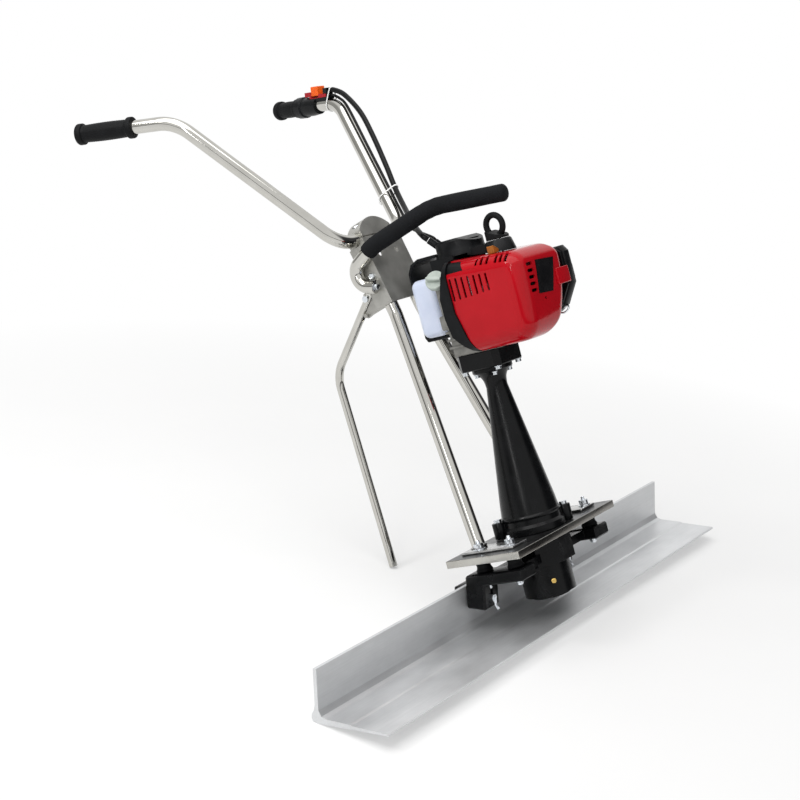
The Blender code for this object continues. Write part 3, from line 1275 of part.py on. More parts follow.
def build_carry_handle():
    path = rounded_path(CARRY_PATH, CARRY_BENDS, 5)
    tube = sweep(path, TUBE_RADIUS, 12, TUBE_BORE)
    keep(tube, "carry_handle", chrome())
    start = 0
    for i, point in enumerate(path):
        if point.z > 0.664:
            start = i
            break
    away = (path[-1] - path[-2]).normalized()
    first = path[start]
    route = path[start:] + [path[-1] + away * 0.0030, path[-1] + away * 0.0070, path[-1] + away * 0.0095]
    sizes = [FOAM_RADIUS] * (len(route) - 2) + [FOAM_RADIUS - 0.0025, FOAM_RADIUS - 0.0075]
    sleeve = sweep(route, FOAM_RADIUS, 14, radii=sizes)
    back = (path[start] - path[start + 1]).normalized()
    cut(sleeve, sweep([first + back * 0.01] + path[start:-1] + [path[-1] + away * GAP], TUBE_RADIUS * 1.04 + GAP, 12))
    keep(sleeve, "carry_grip", foam())


def lowest(solid, tilt):
    spin = Matrix.Rotation(-tilt, 3, "X")
    return min((spin @ v.co).z for v in solid.data.vertices)


def part_named(name):
    for solid, pivot in PARTS:
        if solid.name == name:
            return solid
    return None


def park_matrix():
    """Tip the machine back until the blade's heel and the kickstand's foot share the floor."""
    blade = part_named("blade")
    leg = part_named("kickstand_leg")
    low = 0.0
    high = math.radians(25.0)
    for step in range(50):
        middle = (low + high) / 2.0
        if lowest(leg, middle) > lowest(blade, middle):
            low = middle
        else:
            high = middle
    turn = Matrix.Rotation(-low, 4, "X")
    floor = lowest(blade, low)
    reach = [(turn @ v.co).y for solid, pivot in PARTS for v in solid.data.vertices]
    centre = (min(reach) + max(reach)) / 2.0
    return Matrix.Translation((0.0, -centre, -floor)) @ turn


def shade(solid):
    work = bmesh.new()
    work.from_mesh(solid.data)
    for face in work.faces:
        face.smooth = True
    for edge in work.edges:
        edge.smooth = edge.calc_face_angle(0.0) < math.radians(36.0)
    work.to_mesh(solid.data)
    work.free()


def park_everything():
    park = park_matrix()
    for solid, pivot in PARTS:
        solid.data.transform(park)
        if pivot is not None:
            place = park @ pivot
            solid.data.transform(Matrix.Translation(-place))
            solid.location = place
        shade(solid)


def main():
    clear_scene()
    build_blade()
    build_exciter_housing()
    build_oil_plug()
    build_exciter_cover()
    build_bearings()
    build_eccentric_shaft()
    build_clamps()
    build_isolators()
    build_base_plate()
    build_cone()
    build_cone_bolts()
    build_drive_line()
    build_crank_line()
    build_adaptor()
    build_crankcase()
    build_cylinder()
    build_shroud()
    build_muffler()
    build_air_cleaner()
    build_recoil()
    build_recoil_handle()
    build_oil_cap()
    build_tank()
    build_guard()
    build_poles()
    build_bracket()
    build_kickstand()
    build_handlebar()
    build_bar_clamp()
    build_grips()
    build_controls()
    build_cables()
    build_carry_handle()
    park_everything()


main()
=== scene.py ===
import math

import bmesh
import bpy
from mathutils import Matrix, Vector


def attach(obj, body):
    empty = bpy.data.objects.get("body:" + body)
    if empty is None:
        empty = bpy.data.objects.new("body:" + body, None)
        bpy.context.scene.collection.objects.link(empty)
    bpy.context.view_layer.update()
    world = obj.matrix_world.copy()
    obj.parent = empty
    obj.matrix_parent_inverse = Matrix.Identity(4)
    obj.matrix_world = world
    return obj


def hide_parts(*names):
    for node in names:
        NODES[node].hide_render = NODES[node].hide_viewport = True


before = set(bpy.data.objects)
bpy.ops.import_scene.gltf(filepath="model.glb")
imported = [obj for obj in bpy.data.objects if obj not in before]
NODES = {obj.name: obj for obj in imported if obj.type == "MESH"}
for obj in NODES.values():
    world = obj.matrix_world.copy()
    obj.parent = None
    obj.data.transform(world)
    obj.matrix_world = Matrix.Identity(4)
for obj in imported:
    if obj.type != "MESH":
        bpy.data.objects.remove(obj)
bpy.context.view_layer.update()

# Frames and shared sizes of the part, in the parked pose
PARK = Matrix.Translation((0.0, -0.3547099, 0.0007371)) @ Matrix.Rotation(-0.1952209, 4, "X")
GAP = 0.0003
PLATE_LENGTH = 0.3525
PLATE_WIDTH = 0.152
PLATE_THICK = 0.0132
MOUNT_X = 0.136
MOUNT_V = (0.027, -0.038)
FOOT_THICK = 0.005
ISOLATOR_RADIUS = 0.0150
ISOLATOR_HEIGHT = 0.0202
STUD_RADIUS = 0.0039
YOKE_TOP = -PLATE_THICK - ISOLATOR_HEIGHT - 2 * GAP
YOKE_BOTTOM = YOKE_TOP - 0.022
TUBE_RADIUS = 0.0125
TUBE_BORE = 0.0105
SQUARE = ((-1, -1), (1, -1), (1, 1), (-1, 1))


def frame_matrix(tilt, y, z):
    return PARK @ Matrix.Translation((0.0, y, z)) @ Matrix.Rotation(-math.radians(tilt), 4, "X")


HEAD = frame_matrix(12.8, -0.0504, 0.1541)
SHAFT = HEAD @ Matrix.Translation((0.0, -0.007, 0.0))
ENGINE = HEAD @ Matrix.Translation((0.0, -0.0195, 0.0))
BRACKET = frame_matrix(25.9, 0.174, 0.576)


# Mesh tools

def linked(name, data):
    made = bpy.data.objects.new(name, data)
    bpy.context.scene.collection.objects.link(made)
    return made


def new_mesh(verts, faces, place=PARK):
    mesh = bpy.data.meshes.new("mesh")
    mesh.from_pydata([tuple(v) for v in verts], [], faces)
    mesh.transform(place)
    work = bmesh.new()
    work.from_mesh(mesh)
    bmesh.ops.recalc_face_normals(work, faces=work.faces)
    work.to_mesh(mesh)
    work.free()
    return linked("piece", mesh)


def round_edges(made, width, steps=3):
    work = bmesh.new()
    work.from_mesh(made.data)
    sharp = [e for e in work.edges if e.calc_face_angle(0.0) > math.radians(30.0)]
    bmesh.ops.bevel(work, geom=sharp, offset=width, segments=steps, profile=0.5, affect="EDGES",
                    clamp_overlap=True)
    work.to_mesh(made.data)
    work.free()
    return made


def box(low, high, place, rounding=0.0, steps=3):
    corners = [(x, y, z) for z in (low[2], high[2]) for y in (low[1], high[1]) for x in (low[0], high[0])]
    faces = [(0, 2, 3, 1), (4, 5, 7, 6), (0, 1, 5, 4), (2, 6, 7, 3), (0, 4, 6, 2), (1, 3, 7, 5)]
    made = new_mesh(corners, faces, place)
    if rounding > 0.0:
        round_edges(made, rounding, steps)
    return made


def around(count):
    """Angles of even steps round a full turn."""
    return [2.0 * math.pi * k / count for k in range(count)]


def quarter(count, first=0):
    """Sine and cosine of each step over a quarter turn."""
    angles = [math.pi / 2.0 * k / count for k in range(first, count + 1)]
    return [(math.sin(angle), math.cos(angle)) for angle in angles]


def spoke(radius, angle, height):
    return (radius * math.cos(angle), radius * math.sin(angle), height)


def prism(outline, low, high, axis, place):
    """Outline in the plane across X or Y, drawn out along that axis."""
    def point(a, b, t):
        return (t, a, b) if axis == "X" else (a, t, b)

    count = len(outline)
    verts = [point(a, b, t) for t in (low, high) for a, b in outline]
    faces = [tuple(range(count)), tuple(range(2 * count - 1, count - 1, -1))]
    for i in range(count):
        j = (i + 1) % count
        faces.append((i, i + count, j + count, j))
    return new_mesh(verts, faces, place)


def bridge(here, there):
    """Faces between two rings of vertex numbers; a ring on the axis repeats its one vertex."""
    corners = zip(here, here[1:] + here[:1], there[1:] + there[:1], there)
    return [tuple(dict.fromkeys(face)) for face in corners]


def lathe(profile, sides, place):
    """Solid turned from (radius, height) points, which end on the axis or close on themselves."""
    on_axis = profile[0][0] == 0.0 and profile[-1][0] == 0.0
    verts = []
    rings = []
    for radius, height in profile:
        if radius == 0.0:
            rings.append([len(verts)] * sides)
            verts.append((0.0, 0.0, height))
            continue
        rings.append(list(range(len(verts), len(verts) + sides)))
        verts += [spoke(radius, angle, height) for angle in around(sides)]
    faces = []
    for here, there in zip(rings, rings[1:] if on_axis else rings[1:] + rings[:1]):
        faces += bridge(here, there)
    return new_mesh(verts, faces, place)


def disc(radius, low, high, sides, place, soft=0.0):
    """Round block; soft breaks its rims."""
    profile = [(0.0, low), (radius, low), (radius, high), (0.0, high)]
    if soft > 0.0:
        nick = soft * 0.3
        profile[1:3] = [(radius - soft, low), (radius - nick, low + nick), (radius, low + soft),
                        (radius, high - soft), (radius - nick, high - nick), (radius - soft, high)]
    return lathe(profile, sides, place)


def axis_frame(start, towards, place=PARK):
    direction = Vector(towards).normalized()
    turn = Vector((0.0, 0.0, 1.0)).rotation_difference(direction).to_matrix().to_4x4()
    return place @ Matrix.Translation(Vector(start)) @ turn


def rod(start, end, radius, sides, place):
    span = Vector(end) - Vector(start)
    return disc(radius, 0.0, span.length, sides, axis_frame(start, span, place))


def rounded_path(points, radii, steps):
    """Points joined by straight runs, with an arc of its own radius at each inner point."""
    points = [Vector(p) for p in points]
    path = [points[0]]
    for i in range(1, len(points) - 1):
        back = (points[i - 1] - points[i]).normalized()
        ahead = (points[i + 1] - points[i]).normalized()
        half = back.angle(ahead) / 2.0
        reach = radii[i - 1] / math.tan(half)
        centre = points[i] + (back + ahead).normalized() * (radii[i - 1] / math.sin(half))
        first = (points[i] + back * reach - centre).normalized()
        last = (points[i] + ahead * reach - centre).normalized()
        for k in range(steps + 1):
            path.append(centre + first.slerp(last, k / steps) * radii[i - 1])
    path.append(points[-1])
    return path


def smooth_path(points, per_span):
    """Curve through all the points."""
    points = [Vector(p) for p in points]
    ends = [points[0] * 2.0 - points[1]] + points + [points[-1] * 2.0 - points[-2]]
    path = []
    for i in range(1, len(ends) - 2):
        a, b, c, d = ends[i - 1], ends[i], ends[i + 1], ends[i + 2]
        for k in range(per_span):
            t = k / per_span
            step = (c - a) * t + (a * 2.0 - b * 5.0 + c * 4.0 - d) * t * t
            step += (b * 3.0 - a - c * 3.0 + d) * t * t * t
            path.append(b + step * 0.5)
    path.append(points[-1])
    return path


def sweep(path, radius, sides, bore=0.0, radii=None, closed=False):
    """Round bar or tube along a path; radii gives its outer radius at each point, where that changes."""
    path = [Vector(p) for p in path]
    count = len(path)
    tangents = []
    for i in range(count):
        before = path[i - 1] if closed or i > 0 else path[i]
        after = path[(i + 1) % count] if closed or i < count - 1 else path[i]
        tangents.append((after - before).normalized())
    side = tangents[0].orthogonal().normalized()
    verts = []
    skins = [[], []]
    for i, tangent in enumerate(tangents):
        side = (side - tangent * side.dot(tangent)).normalized()
        other = tangent.cross(side)
        outer = radii[i] if radii else radius
        for rings, reach in zip(skins, (outer, bore)):
            if reach > 0.0:
                rings.append(list(range(len(verts), len(verts) + sides)))
                verts += [path[i] + (side * math.cos(a) + other * math.sin(a)) * reach for a in around(sides)]
    faces = []
    for rings in skins:
        for here, there in zip(rings, rings[1:] + rings[:1] if closed else rings[1:]):
            faces += bridge(here, there)
    if not closed:
        for end in (0, -1):
            faces += bridge(skins[0][end], skins[1][end]) if bore > 0.0 else [skins[0][end]]
    return new_mesh(verts, faces)


def loft(levels, place):
    """Skin over closed rings of points, with both ends capped."""
    count = len(levels[0])
    rings = [list(range(i * count, (i + 1) * count)) for i in range(len(levels))]
    faces = [rings[0], rings[-1][::-1]]
    for here, there in zip(rings, rings[1:]):
        for a, b, c, d in bridge(here, there):
            faces += [(a, b, c), (a, c, d)]
    return new_mesh([point for level in levels for point in level], faces, place)


def boolean(target, tool, operation):
    modifier = target.modifiers.new("shape", "BOOLEAN")
    modifier.operation = operation
    modifier.solver = "EXACT"
    modifier.object = tool
    bpy.context.view_layer.update()
    graph = bpy.context.evaluated_depsgraph_get()
    mesh = bpy.data.meshes.new_from_object(target.evaluated_get(graph))
    target.modifiers.clear()
    target.data = mesh
    bpy.data.objects.remove(tool, do_unlink=True)
    return target


def fuse(target, tool):
    boolean(target, tool, "UNION")


def cut(target, tool):
    boolean(target, tool, "DIFFERENCE")


def joined(made):
    """One mesh of several, left as separate shells."""
    work = bmesh.new()
    for item in made:
        work.from_mesh(item.data)
    work.to_mesh(made[0].data)
    work.free()
    for item in made[1:]:
        bpy.data.objects.remove(item, do_unlink=True)
    return made[0]


def piece(made, name, look, stands_for=None, limit=32.0, body="frame"):
    """Finish a mesh as a piece that rides on a body, in place of a CAD node where it stands for one."""
    made.name = name
    made.data.name = name
    made.data.materials.clear()
    made.data.materials.append(look)
    for face in made.data.polygons:
        face.use_smooth = True
    made.data.set_sharp_from_angle(angle=math.radians(limit))
    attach(made, body)
    if stands_for:
        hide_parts(stands_for)


def hardware(made, name, stands_for=None):
    piece(made, name, BRIGHT_ZINC, stands_for)


# Materials

def new_material(name):
    made = bpy.data.materials.new(name)
    made.use_nodes = True
    return made, made.node_tree, made.node_tree.nodes["Principled BSDF"]


def feed(tree, node, values):
    """Link each input of a node to a socket, or set it to a value."""
    for name, value in values.items():
        if isinstance(value, bpy.types.NodeSocket):
            tree.links.new(value, node.inputs[name])
        else:
            node.inputs[name].default_value = value


def add(tree, kind, values):
    node = tree.nodes.new("ShaderNode" + kind)
    feed(tree, node, values)
    return node


def noise(tree, scale, detail=4.0, stretch=(1.0, 1.0, 1.0), rough=0.55):
    spot = add(tree, "TexCoord", {}).outputs["Object"]
    spot = add(tree, "Mapping", {"Vector": spot, "Scale": stretch}).outputs["Vector"]
    node = add(tree, "TexNoise", {"Vector": spot, "Scale": scale, "Detail": detail, "Roughness": rough})
    return node.outputs["Fac"]


def ramp(tree, value, dark, light, low=0.3, high=0.7):
    node = add(tree, "ValToRGB", {"Fac": value})
    for index, place, colour in ((0, low, dark), (1, high, light)):
        node.color_ramp.elements[index].position = place
        node.color_ramp.elements[index].color = (*colour, 1.0)
    return node.outputs["Color"]


def spread(tree, value, low, high, start=0.3, end=0.7):
    """Low to high, as a value goes from start to end."""
    node = add(tree, "MapRange", {"Value": value, "From Min": start, "From Max": end,
                                  "To Min": low, "To Max": high})
    return node.outputs["Result"]


def bump(tree, shader, height, strength, distance):
    node = add(tree, "Bump", {"Height": height, "Strength": strength, "Distance": distance})
    feed(tree, shader, {"Normal": node.outputs["Normal"]})


def tint(tree, colour, value, amount=1.0):
    """Multiply a colour by another, as far as amount says."""
    node = add(tree, "MixRGB", {"Fac": amount, "Color1": colour, "Color2": value})
    node.blend_type = "MULTIPLY"
    return node.outputs["Color"]


def surface(name, dark, light, rough, scale, metallic=0.0, grain=0.0, grain_scale=800.0, depth=0.0002,
            specular=0.5, subsurface=0.0):
    """Finish whose colour and roughness drift between two values, with a fine grain where one is given."""
    made, tree, shader = new_material(name)
    cloud = noise(tree, scale, 5.0)
    colour = ramp(tree, cloud, dark, light)
    feed(tree, shader, {"Base Color": colour, "Roughness": spread(tree, cloud, *rough),
                        "Metallic": metallic, "Specular IOR Level": specular})
    if subsurface > 0.0:
        feed(tree, shader, {"Subsurface Weight": subsurface, "Subsurface Radius": (1.0, 1.0, 1.0),
                            "Subsurface Scale": 0.006})
    if grain > 0.0:
        bump(tree, shader, noise(tree, grain_scale, 3.0), grain, depth)
    return made


def brushed_aluminium(name, dark, light, rough, metallic):
    """Extruded aluminium with faint drawing lines along X and cloudy handling marks."""
    made, tree, shader = new_material(name)
    streak = noise(tree, 1.0, 6.0, (2.5, 520.0, 520.0))
    cloud = noise(tree, 7.0, 7.0, (0.7, 1.6, 1.6), 0.62)
    colour = tint(tree, ramp(tree, cloud, dark, light, 0.35, 0.66), spread(tree, streak, 0.94, 1.0))
    feed(tree, shader, {"Base Color": colour, "Roughness": spread(tree, cloud, *rough, 0.35, 0.66),
                        "Metallic": metallic})
    bump(tree, shader, streak, 0.02, 0.0002)
    return made


def foam_skin():
    made, tree, shader = new_material("foam_skin")
    cloud = noise(tree, 60.0, 4.0)
    colour = ramp(tree, cloud, (0.0055, 0.0060, 0.0070), (0.0105, 0.0113, 0.0130))
    feed(tree, shader, {"Base Color": colour, "Roughness": spread(tree, cloud, 0.72, 0.88),
                        "Specular IOR Level": 0.14})
    spot = add(tree, "TexCoord", {}).outputs["Object"]
    cells = add(tree, "TexVoronoi", {"Vector": spot, "Scale": 900.0})
    bump(tree, shader, cells.outputs["Distance"], 0.35, 0.0005)
    return made


ALUMINIUM = brushed_aluminium("brushed_aluminium", (0.66, 0.67, 0.68), (0.80, 0.81, 0.82), (0.40, 0.54), 0.70)
# Lit and shaded copies of the plate's aluminium, picked by facing: this brighter one for its ends and edges.
PLATE_EDGE = brushed_aluminium("milled_edge", (0.44, 0.43, 0.40), (0.58, 0.57, 0.53), (0.22, 0.34), 1.0)
# Painted shade: a darker copy for the plate's long sides, where less light falls.
PLATE_SHADED_SIDE = brushed_aluminium("painted_shade_side", (0.16, 0.152, 0.138), (0.30, 0.285, 0.26), (0.20, 0.34), 1.0)
# Painted reflection: a dark copy of the plate's aluminium for its top and bottom faces, standing for the
# black cone reflected in the top.
PLATE_DARK_REFLECTION = surface("painted_reflection_top", (0.040, 0.041, 0.042), (0.075, 0.077, 0.078), (0.24, 0.38), 45.0, 0.85,
                    0.12, 900.0)
CASTING = surface("black_casting", (0.0022, 0.0024, 0.0027), (0.0050, 0.0054, 0.0060), (0.18, 0.30), 40.0,
                  0.0, 0.16, 420.0, 0.0003, specular=0.17)
PLASTIC = surface("black_plastic", (0.0035, 0.0039, 0.0045), (0.0070, 0.0077, 0.0088), (0.28, 0.40), 55.0,
                  0.0, 0.14, 1500.0, specular=0.15)
RUBBER = surface("rubber", (0.0035, 0.0038, 0.0042), (0.0075, 0.0080, 0.0088), (0.48, 0.62), 70.0, 0.0,
                 0.2, 1300.0, specular=0.13)
CABLE = surface("cable_jacket", (0.0035, 0.0037, 0.0040), (0.0075, 0.0079, 0.0084), (0.30, 0.42), 60.0, 0.0,
                0.08, 900.0, specular=0.16)
FOAM = foam_skin()
CHROME = surface("chrome_plate", (0.52, 0.51, 0.475), (0.59, 0.58, 0.545), (0.04, 0.09), 25.0, 1.0)
ZINC = surface("zinc_plate", (0.34, 0.335, 0.31), (0.46, 0.455, 0.425), (0.30, 0.44), 38.0, 0.6, 0.10, 700.0)
BRIGHT_ZINC = surface("zinc_hardware", (0.62, 0.66, 0.70), (0.80, 0.83, 0.86), (0.12, 0.24), 160.0, 1.0)
FOOT_STEEL = surface("foot_steel", (0.40, 0.40, 0.40), (0.56, 0.56, 0.55), (0.14, 0.28), 60.0, 1.0,
                     0.10, 900.0)
STEEL = surface("machined_steel", (0.36, 0.36, 0.37), (0.54, 0.54, 0.55), (0.28, 0.42), 90.0, 1.0,
                0.08, 1200.0)
ALLOY = surface("cast_alloy", (0.17, 0.168, 0.155), (0.27, 0.265, 0.245), (0.44, 0.60), 70.0, 0.35,
                0.30, 900.0, 0.0003, specular=0.3)
RED = surface("red_cowl", (0.41, 0.0030, 0.0085), (0.48, 0.0045, 0.0115), (0.06, 0.10), 14.0, 0.0,
              0.03, 260.0, 0.0003, specular=0.20)
RED_MATT = surface("red_plastic", (0.32, 0.008, 0.014), (0.42, 0.011, 0.020), (0.30, 0.42), 60.0, 0.0,
                   0.08, 1200.0, specular=0.20)
ORANGE = surface("orange_plastic", (0.80, 0.105, 0.009), (0.92, 0.140, 0.012), (0.34, 0.44), 80.0, 0.0,
                 0.10, 1500.0, specular=0.20)
AMBER = surface("amber_plastic", (0.30, 0.100, 0.016), (0.42, 0.150, 0.024), (0.32, 0.46), 80.0, 0.0,
                0.10, 1500.0, specular=0.20)
TANK = surface("tank_plastic", (0.60, 0.66, 0.81), (0.67, 0.72, 0.85), (0.28, 0.38), 30.0, 0.0, 0.05, 600.0,
               subsurface=0.35)
GREY = surface("grey_plastic", (0.38, 0.43, 0.39), (0.46, 0.51, 0.46), (0.38, 0.50), 90.0, 0.0, 0.10, 1500.0)
NYLON = surface("white_nylon", (0.72, 0.72, 0.71), (0.84, 0.84, 0.83), (0.38, 0.52), 200.0, 0.0, 0.12, 1800.0)
BRASS = surface("brass", (0.58, 0.38, 0.10), (0.78, 0.56, 0.20), (0.18, 0.30), 220.0, 1.0)
DARK_PANEL = surface("panel_black", (0.0045, 0.0045, 0.0050), (0.0085, 0.0085, 0.0092), (0.18, 0.28), 50.0,
                     0.0, 0.08, 900.0, specular=0.15)
ROPE = surface("rope_braid", (0.50, 0.49, 0.46), (0.74, 0.73, 0.70), (0.60, 0.75), 900.0, 0.0,
               0.4, 2200.0, 0.0004)


def soft_shading():
    """Node group that welds a CAD mesh and shades it smooth between its sharp edges."""
    group = bpy.data.node_groups.new("soft_shading", "GeometryNodeTree")
    for way in ("INPUT", "OUTPUT"):
        group.interface.new_socket("Geometry", in_out=way, socket_type="NodeSocketGeometry")
    kinds = ("NodeGroupInput", "GeometryNodeMergeByDistance", "GeometryNodeRemoveAttribute",
             "GeometryNodeSetShadeSmooth", "GeometryNodeSetShadeSmooth", "NodeGroupOutput")
    chain = [group.nodes.new(kind) for kind in kinds]
    for here, there in zip(chain, chain[1:]):
        group.links.new(here.outputs[0], there.inputs[0])
    weld, plain, smooth, crease = chain[1:5]
    angle = group.nodes.new("GeometryNodeInputMeshEdgeAngle")
    sharp = group.nodes.new("FunctionNodeCompare")
    sharp.data_type = "FLOAT"
    sharp.operation = "GREATER_THAN"
    smooth.domain = "FACE"
    crease.domain = "EDGE"
    feed(group, weld, {"Distance": 0.00002})
    feed(group, plain, {"Name": "custom_normal"})
    feed(group, sharp, {0: angle.outputs["Unsigned Angle"], 1: math.radians(32.0)})
    feed(group, crease, {"Selection": sharp.outputs[0], "Shade Smooth": False})
    return group


SOFT_SHADING = soft_shading()


def dress(names, look, bevel=0.0, soft=True):
    """Give CAD nodes a finish and, where it shows, smooth rounds and softly broken edges."""
    for name in names:
        node = NODES[name]
        node.data.materials.clear()
        node.data.materials.append(look)
        if soft:
            node.modifiers.new("shading", "NODES").node_group = SOFT_SHADING
        if bevel > 0.0:
            made = node.modifiers.new("edges", "BEVEL")
            made.width = bevel
            made.segments = 2
            made.limit_method = "ANGLE"
            made.angle_limit = math.radians(40.0)


def dress_nodes():
    """Finishes of the CAD nodes that no piece stands for."""
    dress(("blade",), ALUMINIUM, soft=False)
    dress(("exciter_housing", "exciter_cover", "clamp_jaw_left", "clamp_jaw_right", "engine_adaptor"),
          CASTING, 0.0009)
    dress(("bearing_upper", "bearing_lower", "eccentric_shaft", "drive_shaft", "clutch_drum",
           "clutch_shoes", "crankshaft", "muffler"), STEEL)
    dress(("drive_coupling",), RUBBER)
    dress(("flywheel_fan", "crankcase", "cylinder_block", "carburettor"), ALLOY)
    dress(("air_cleaner_case", "air_cleaner_cover", "recoil_housing", "tank_guard", "throttle_housing",
           "fuel_cap"), PLASTIC, 0.0007)
    dress(("clamp_bolt_left", "clamp_bolt_right", "pole_bolt_left", "pole_bolt_right", "kickstand_pin",
           "bar_clamp_bolt_left", "bar_clamp_bolt_right"), BRIGHT_ZINC)
    dress(("handle_bracket", "bar_clamp_cap"), ZINC, 0.0012)
    dress(("switch_base",), RED_MATT)
    dress(("kill_switch",), ORANGE)
    dress(("oil_plug",), BRASS)
    dress(("recoil_rope",), ROPE)


# Stage

FLOOR_REACH = 200.0
FADE_SPAN = (0.75, 1.7)


def build_camera():
    right = Vector((0.5537, -0.8292, -0.0761)).normalized()
    up = Vector((0.2042, 0.0466, 0.9778))
    up = (up - right * up.dot(right)).normalized()
    back = right.cross(up)
    place = Matrix((right, up, back)).transposed().to_4x4()
    place.translation = (-2.6334, -1.6023, 1.0171)
    data = bpy.data.cameras.new("camera")
    data.lens = 78.93
    data.sensor_width = 36.0
    camera = linked("camera", data)
    camera.matrix_world = PARK @ place
    bpy.context.scene.camera = camera


def area_light(name, place, target, size, power):
    data = bpy.data.lights.new(name, "AREA")
    data.shape = "RECTANGLE"
    data.size = size[0]
    data.size_y = size[1]
    data.energy = power
    lamp = linked(name, data)
    lamp.location = place
    lamp.rotation_mode = "QUATERNION"
    lamp.rotation_quaternion = (Vector(target) - Vector(place)).to_track_quat("-Z", "Y")


def seen_directly(tree):
    """One where a ray comes from the camera, a mirror or a clear surface."""
    path = add(tree, "LightPath", {})
    seen = path.outputs["Is Camera Ray"]
    for other in ("Is Glossy Ray", "Is Transmission Ray"):
        most = add(tree, "Math", {0: seen, 1: path.outputs[other]})
        most.operation = "MAXIMUM"
        seen = most.outputs[0]
    return seen


def towards(tree, direction):
    """Cosine of the angle between a world ray and a direction."""
    ray = add(tree, "TexCoord", {}).outputs["Generated"]
    node = add(tree, "VectorMath", {0: ray, 1: Vector(direction).normalized()})
    node.operation = "DOT_PRODUCT"
    return node.outputs["Value"]


def build_world():
    """Pale room: dark to the right, grey to the left, with a dark skirting that draws lines on the tubes."""
    world = bpy.data.worlds.new("studio")
    bpy.context.scene.world = world
    world.use_nodes = True
    tree = world.node_tree
    right = towards(tree, (0.76, -0.60, 0.22))
    right = ramp(tree, right, (0.95, 0.95, 0.95), (0.06, 0.06, 0.065), 0.76, 0.88)
    left = towards(tree, (-0.55, 0.83, 0.0))
    left = ramp(tree, left, (1.0, 1.0, 1.0), (0.46, 0.46, 0.45), 0.60, 0.82)
    height = spread(tree, towards(tree, (0.0, 0.0, 1.0)), 0.0, 1.0, -1.0, 1.0)
    skirting = add(tree, "ValToRGB", {"Fac": height})
    tones = skirting.color_ramp.elements
    for place, tone in ((0.500, 1.0), (0.503, 0.10), (0.540, 0.10), (0.565, 1.0)):
        tones.new(place).color = (tone, tone, tone, 1.0)
    tones[0].color = (1.0, 1.0, 1.0, 1.0)
    share = spread(tree, towards(tree, (0.80, 0.60, 0.0)), 1.0, 0.0, 0.1, 0.5)
    room = tint(tree, tint(tree, right, left), skirting.outputs["Color"], share)
    strength = spread(tree, seen_directly(tree), 0.62, 1.0, 0.0, 1.0)
    feed(tree, tree.nodes["Background"], {"Color": room, "Strength": strength})


def build_floor():
    """Pale floor that keeps the object's shadow and fades to white away from it."""
    corners = [(x * FLOOR_REACH, y * FLOOR_REACH, 0.0) for x, y in SQUARE]
    floor = new_mesh(corners, [(0, 1, 2, 3)], Matrix())
    floor.name = "floor"
    made, tree, shader = new_material("floor")
    tone = ramp(tree, noise(tree, 3.0, 3.0), (0.93, 0.93, 0.925), (0.95, 0.95, 0.945))
    feed(tree, shader, {"Base Color": tone, "Roughness": 0.9, "Specular IOR Level": 0.1})
    reach = add(tree, "VectorMath", {0: add(tree, "TexCoord", {}).outputs["Object"]})
    reach.operation = "LENGTH"
    share = spread(tree, reach.outputs["Value"], 0.35, 1.0, FADE_SPAN[0], FADE_SPAN[1])
    fade = add(tree, "Math", {0: share, 1: seen_directly(tree)})
    fade.operation = "MULTIPLY"
    white = add(tree, "Emission", {"Strength": 1.0})
    both = add(tree, "MixShader", {0: fade.outputs[0], 1: shader.outputs[0], 2: white.outputs[0]})
    feed(tree, tree.nodes["Material Output"], {"Surface": both.outputs[0]})
    floor.data.materials.append(made)


def build_stage():
    build_camera()
    build_world()
    build_floor()
    area_light("top", (-0.9, 0.2, 3.0), (0.0, -0.1, 0.4), (3.0, 3.0), 60.0)
    area_light("key", (-2.4, 1.2, 2.5), (0.0, -0.2, 0.5), (0.55, 0.55), 18.0)
    area_light("strip", (-2.9, -0.9, 1.5), (0.0, -0.2, 0.5), (0.22, 1.2), 8.0)
    bpy.context.scene.view_settings.view_transform = "Standard"


# Tubes, grips and cables

BAR_ELBOW = (0.248, 0.480, 0.923)
BAR_END = (0.2969, 0.6628, 0.9117)
BAR_PERP = 0.020
BAR_ALONG = 0.131
BAR_HALF = 0.102
BAR_BENDS = (0.075, 0.055, 0.055, 0.075)
BRACKET_HALF = 0.0585
SHEET = 0.003
POLE_FOOT = (0.116, 0.040)
POLE_SPAN = (-0.020, 0.085)
FOOT_X = (0.1005, 0.1505)
FOOT_V = (-0.051, 0.058)
KICK_PIVOT = Vector((0.0, 0.2665, 0.571))
KICK_BEND = Vector((0.0, 0.355, 0.4224))
KICK_FOOT = Vector((0.0, 0.2594, 0.054))
KICK_RADIUS = 0.008
KICK_BORE = 0.0056
CARRY_X = -BRACKET_HALF - TUBE_RADIUS - GAP
CARRY_PATH = ((CARRY_X, 0.199, 0.604), (CARRY_X, 0.277, 0.603), (CARRY_X, 0.200, 0.677),
              (-0.015, 0.104, 0.740), (0.0, -0.034, 0.761))
CARRY_BENDS = (0.025, 0.060, 0.090)
FOAM_RADIUS = 0.0158
FOAM_START = 0.664
GRIP_RADIUS = 0.0162
GRIPS = ((-1.0, 0.108, "grip_left", "frame"), (1.0, 0.068, "throttle_grip", "throttle"))


def on_side(point, side):
    return Vector((side * point[0], point[1], point[2]))


def bar_point(side, reach):
    """Point on the straight grip end of the handlebar, measured from its tip."""
    tip = on_side(BAR_END, side)
    return tip + (on_side(BAR_ELBOW, side) - tip).normalized() * reach


def grip_local(side):
    """Frame at a handlebar tip, with its third axis along the bar."""
    tip = bar_point(side, 0.0)
    along = (bar_point(side, 0.1) - tip).normalized()
    up = Vector((0.0, 0.0, 1.0))
    up = (up - along * up.dot(along)).normalized()
    turn = Matrix((up.cross(along), up, along)).transposed().to_4x4()
    return Matrix.Translation(tip) @ turn


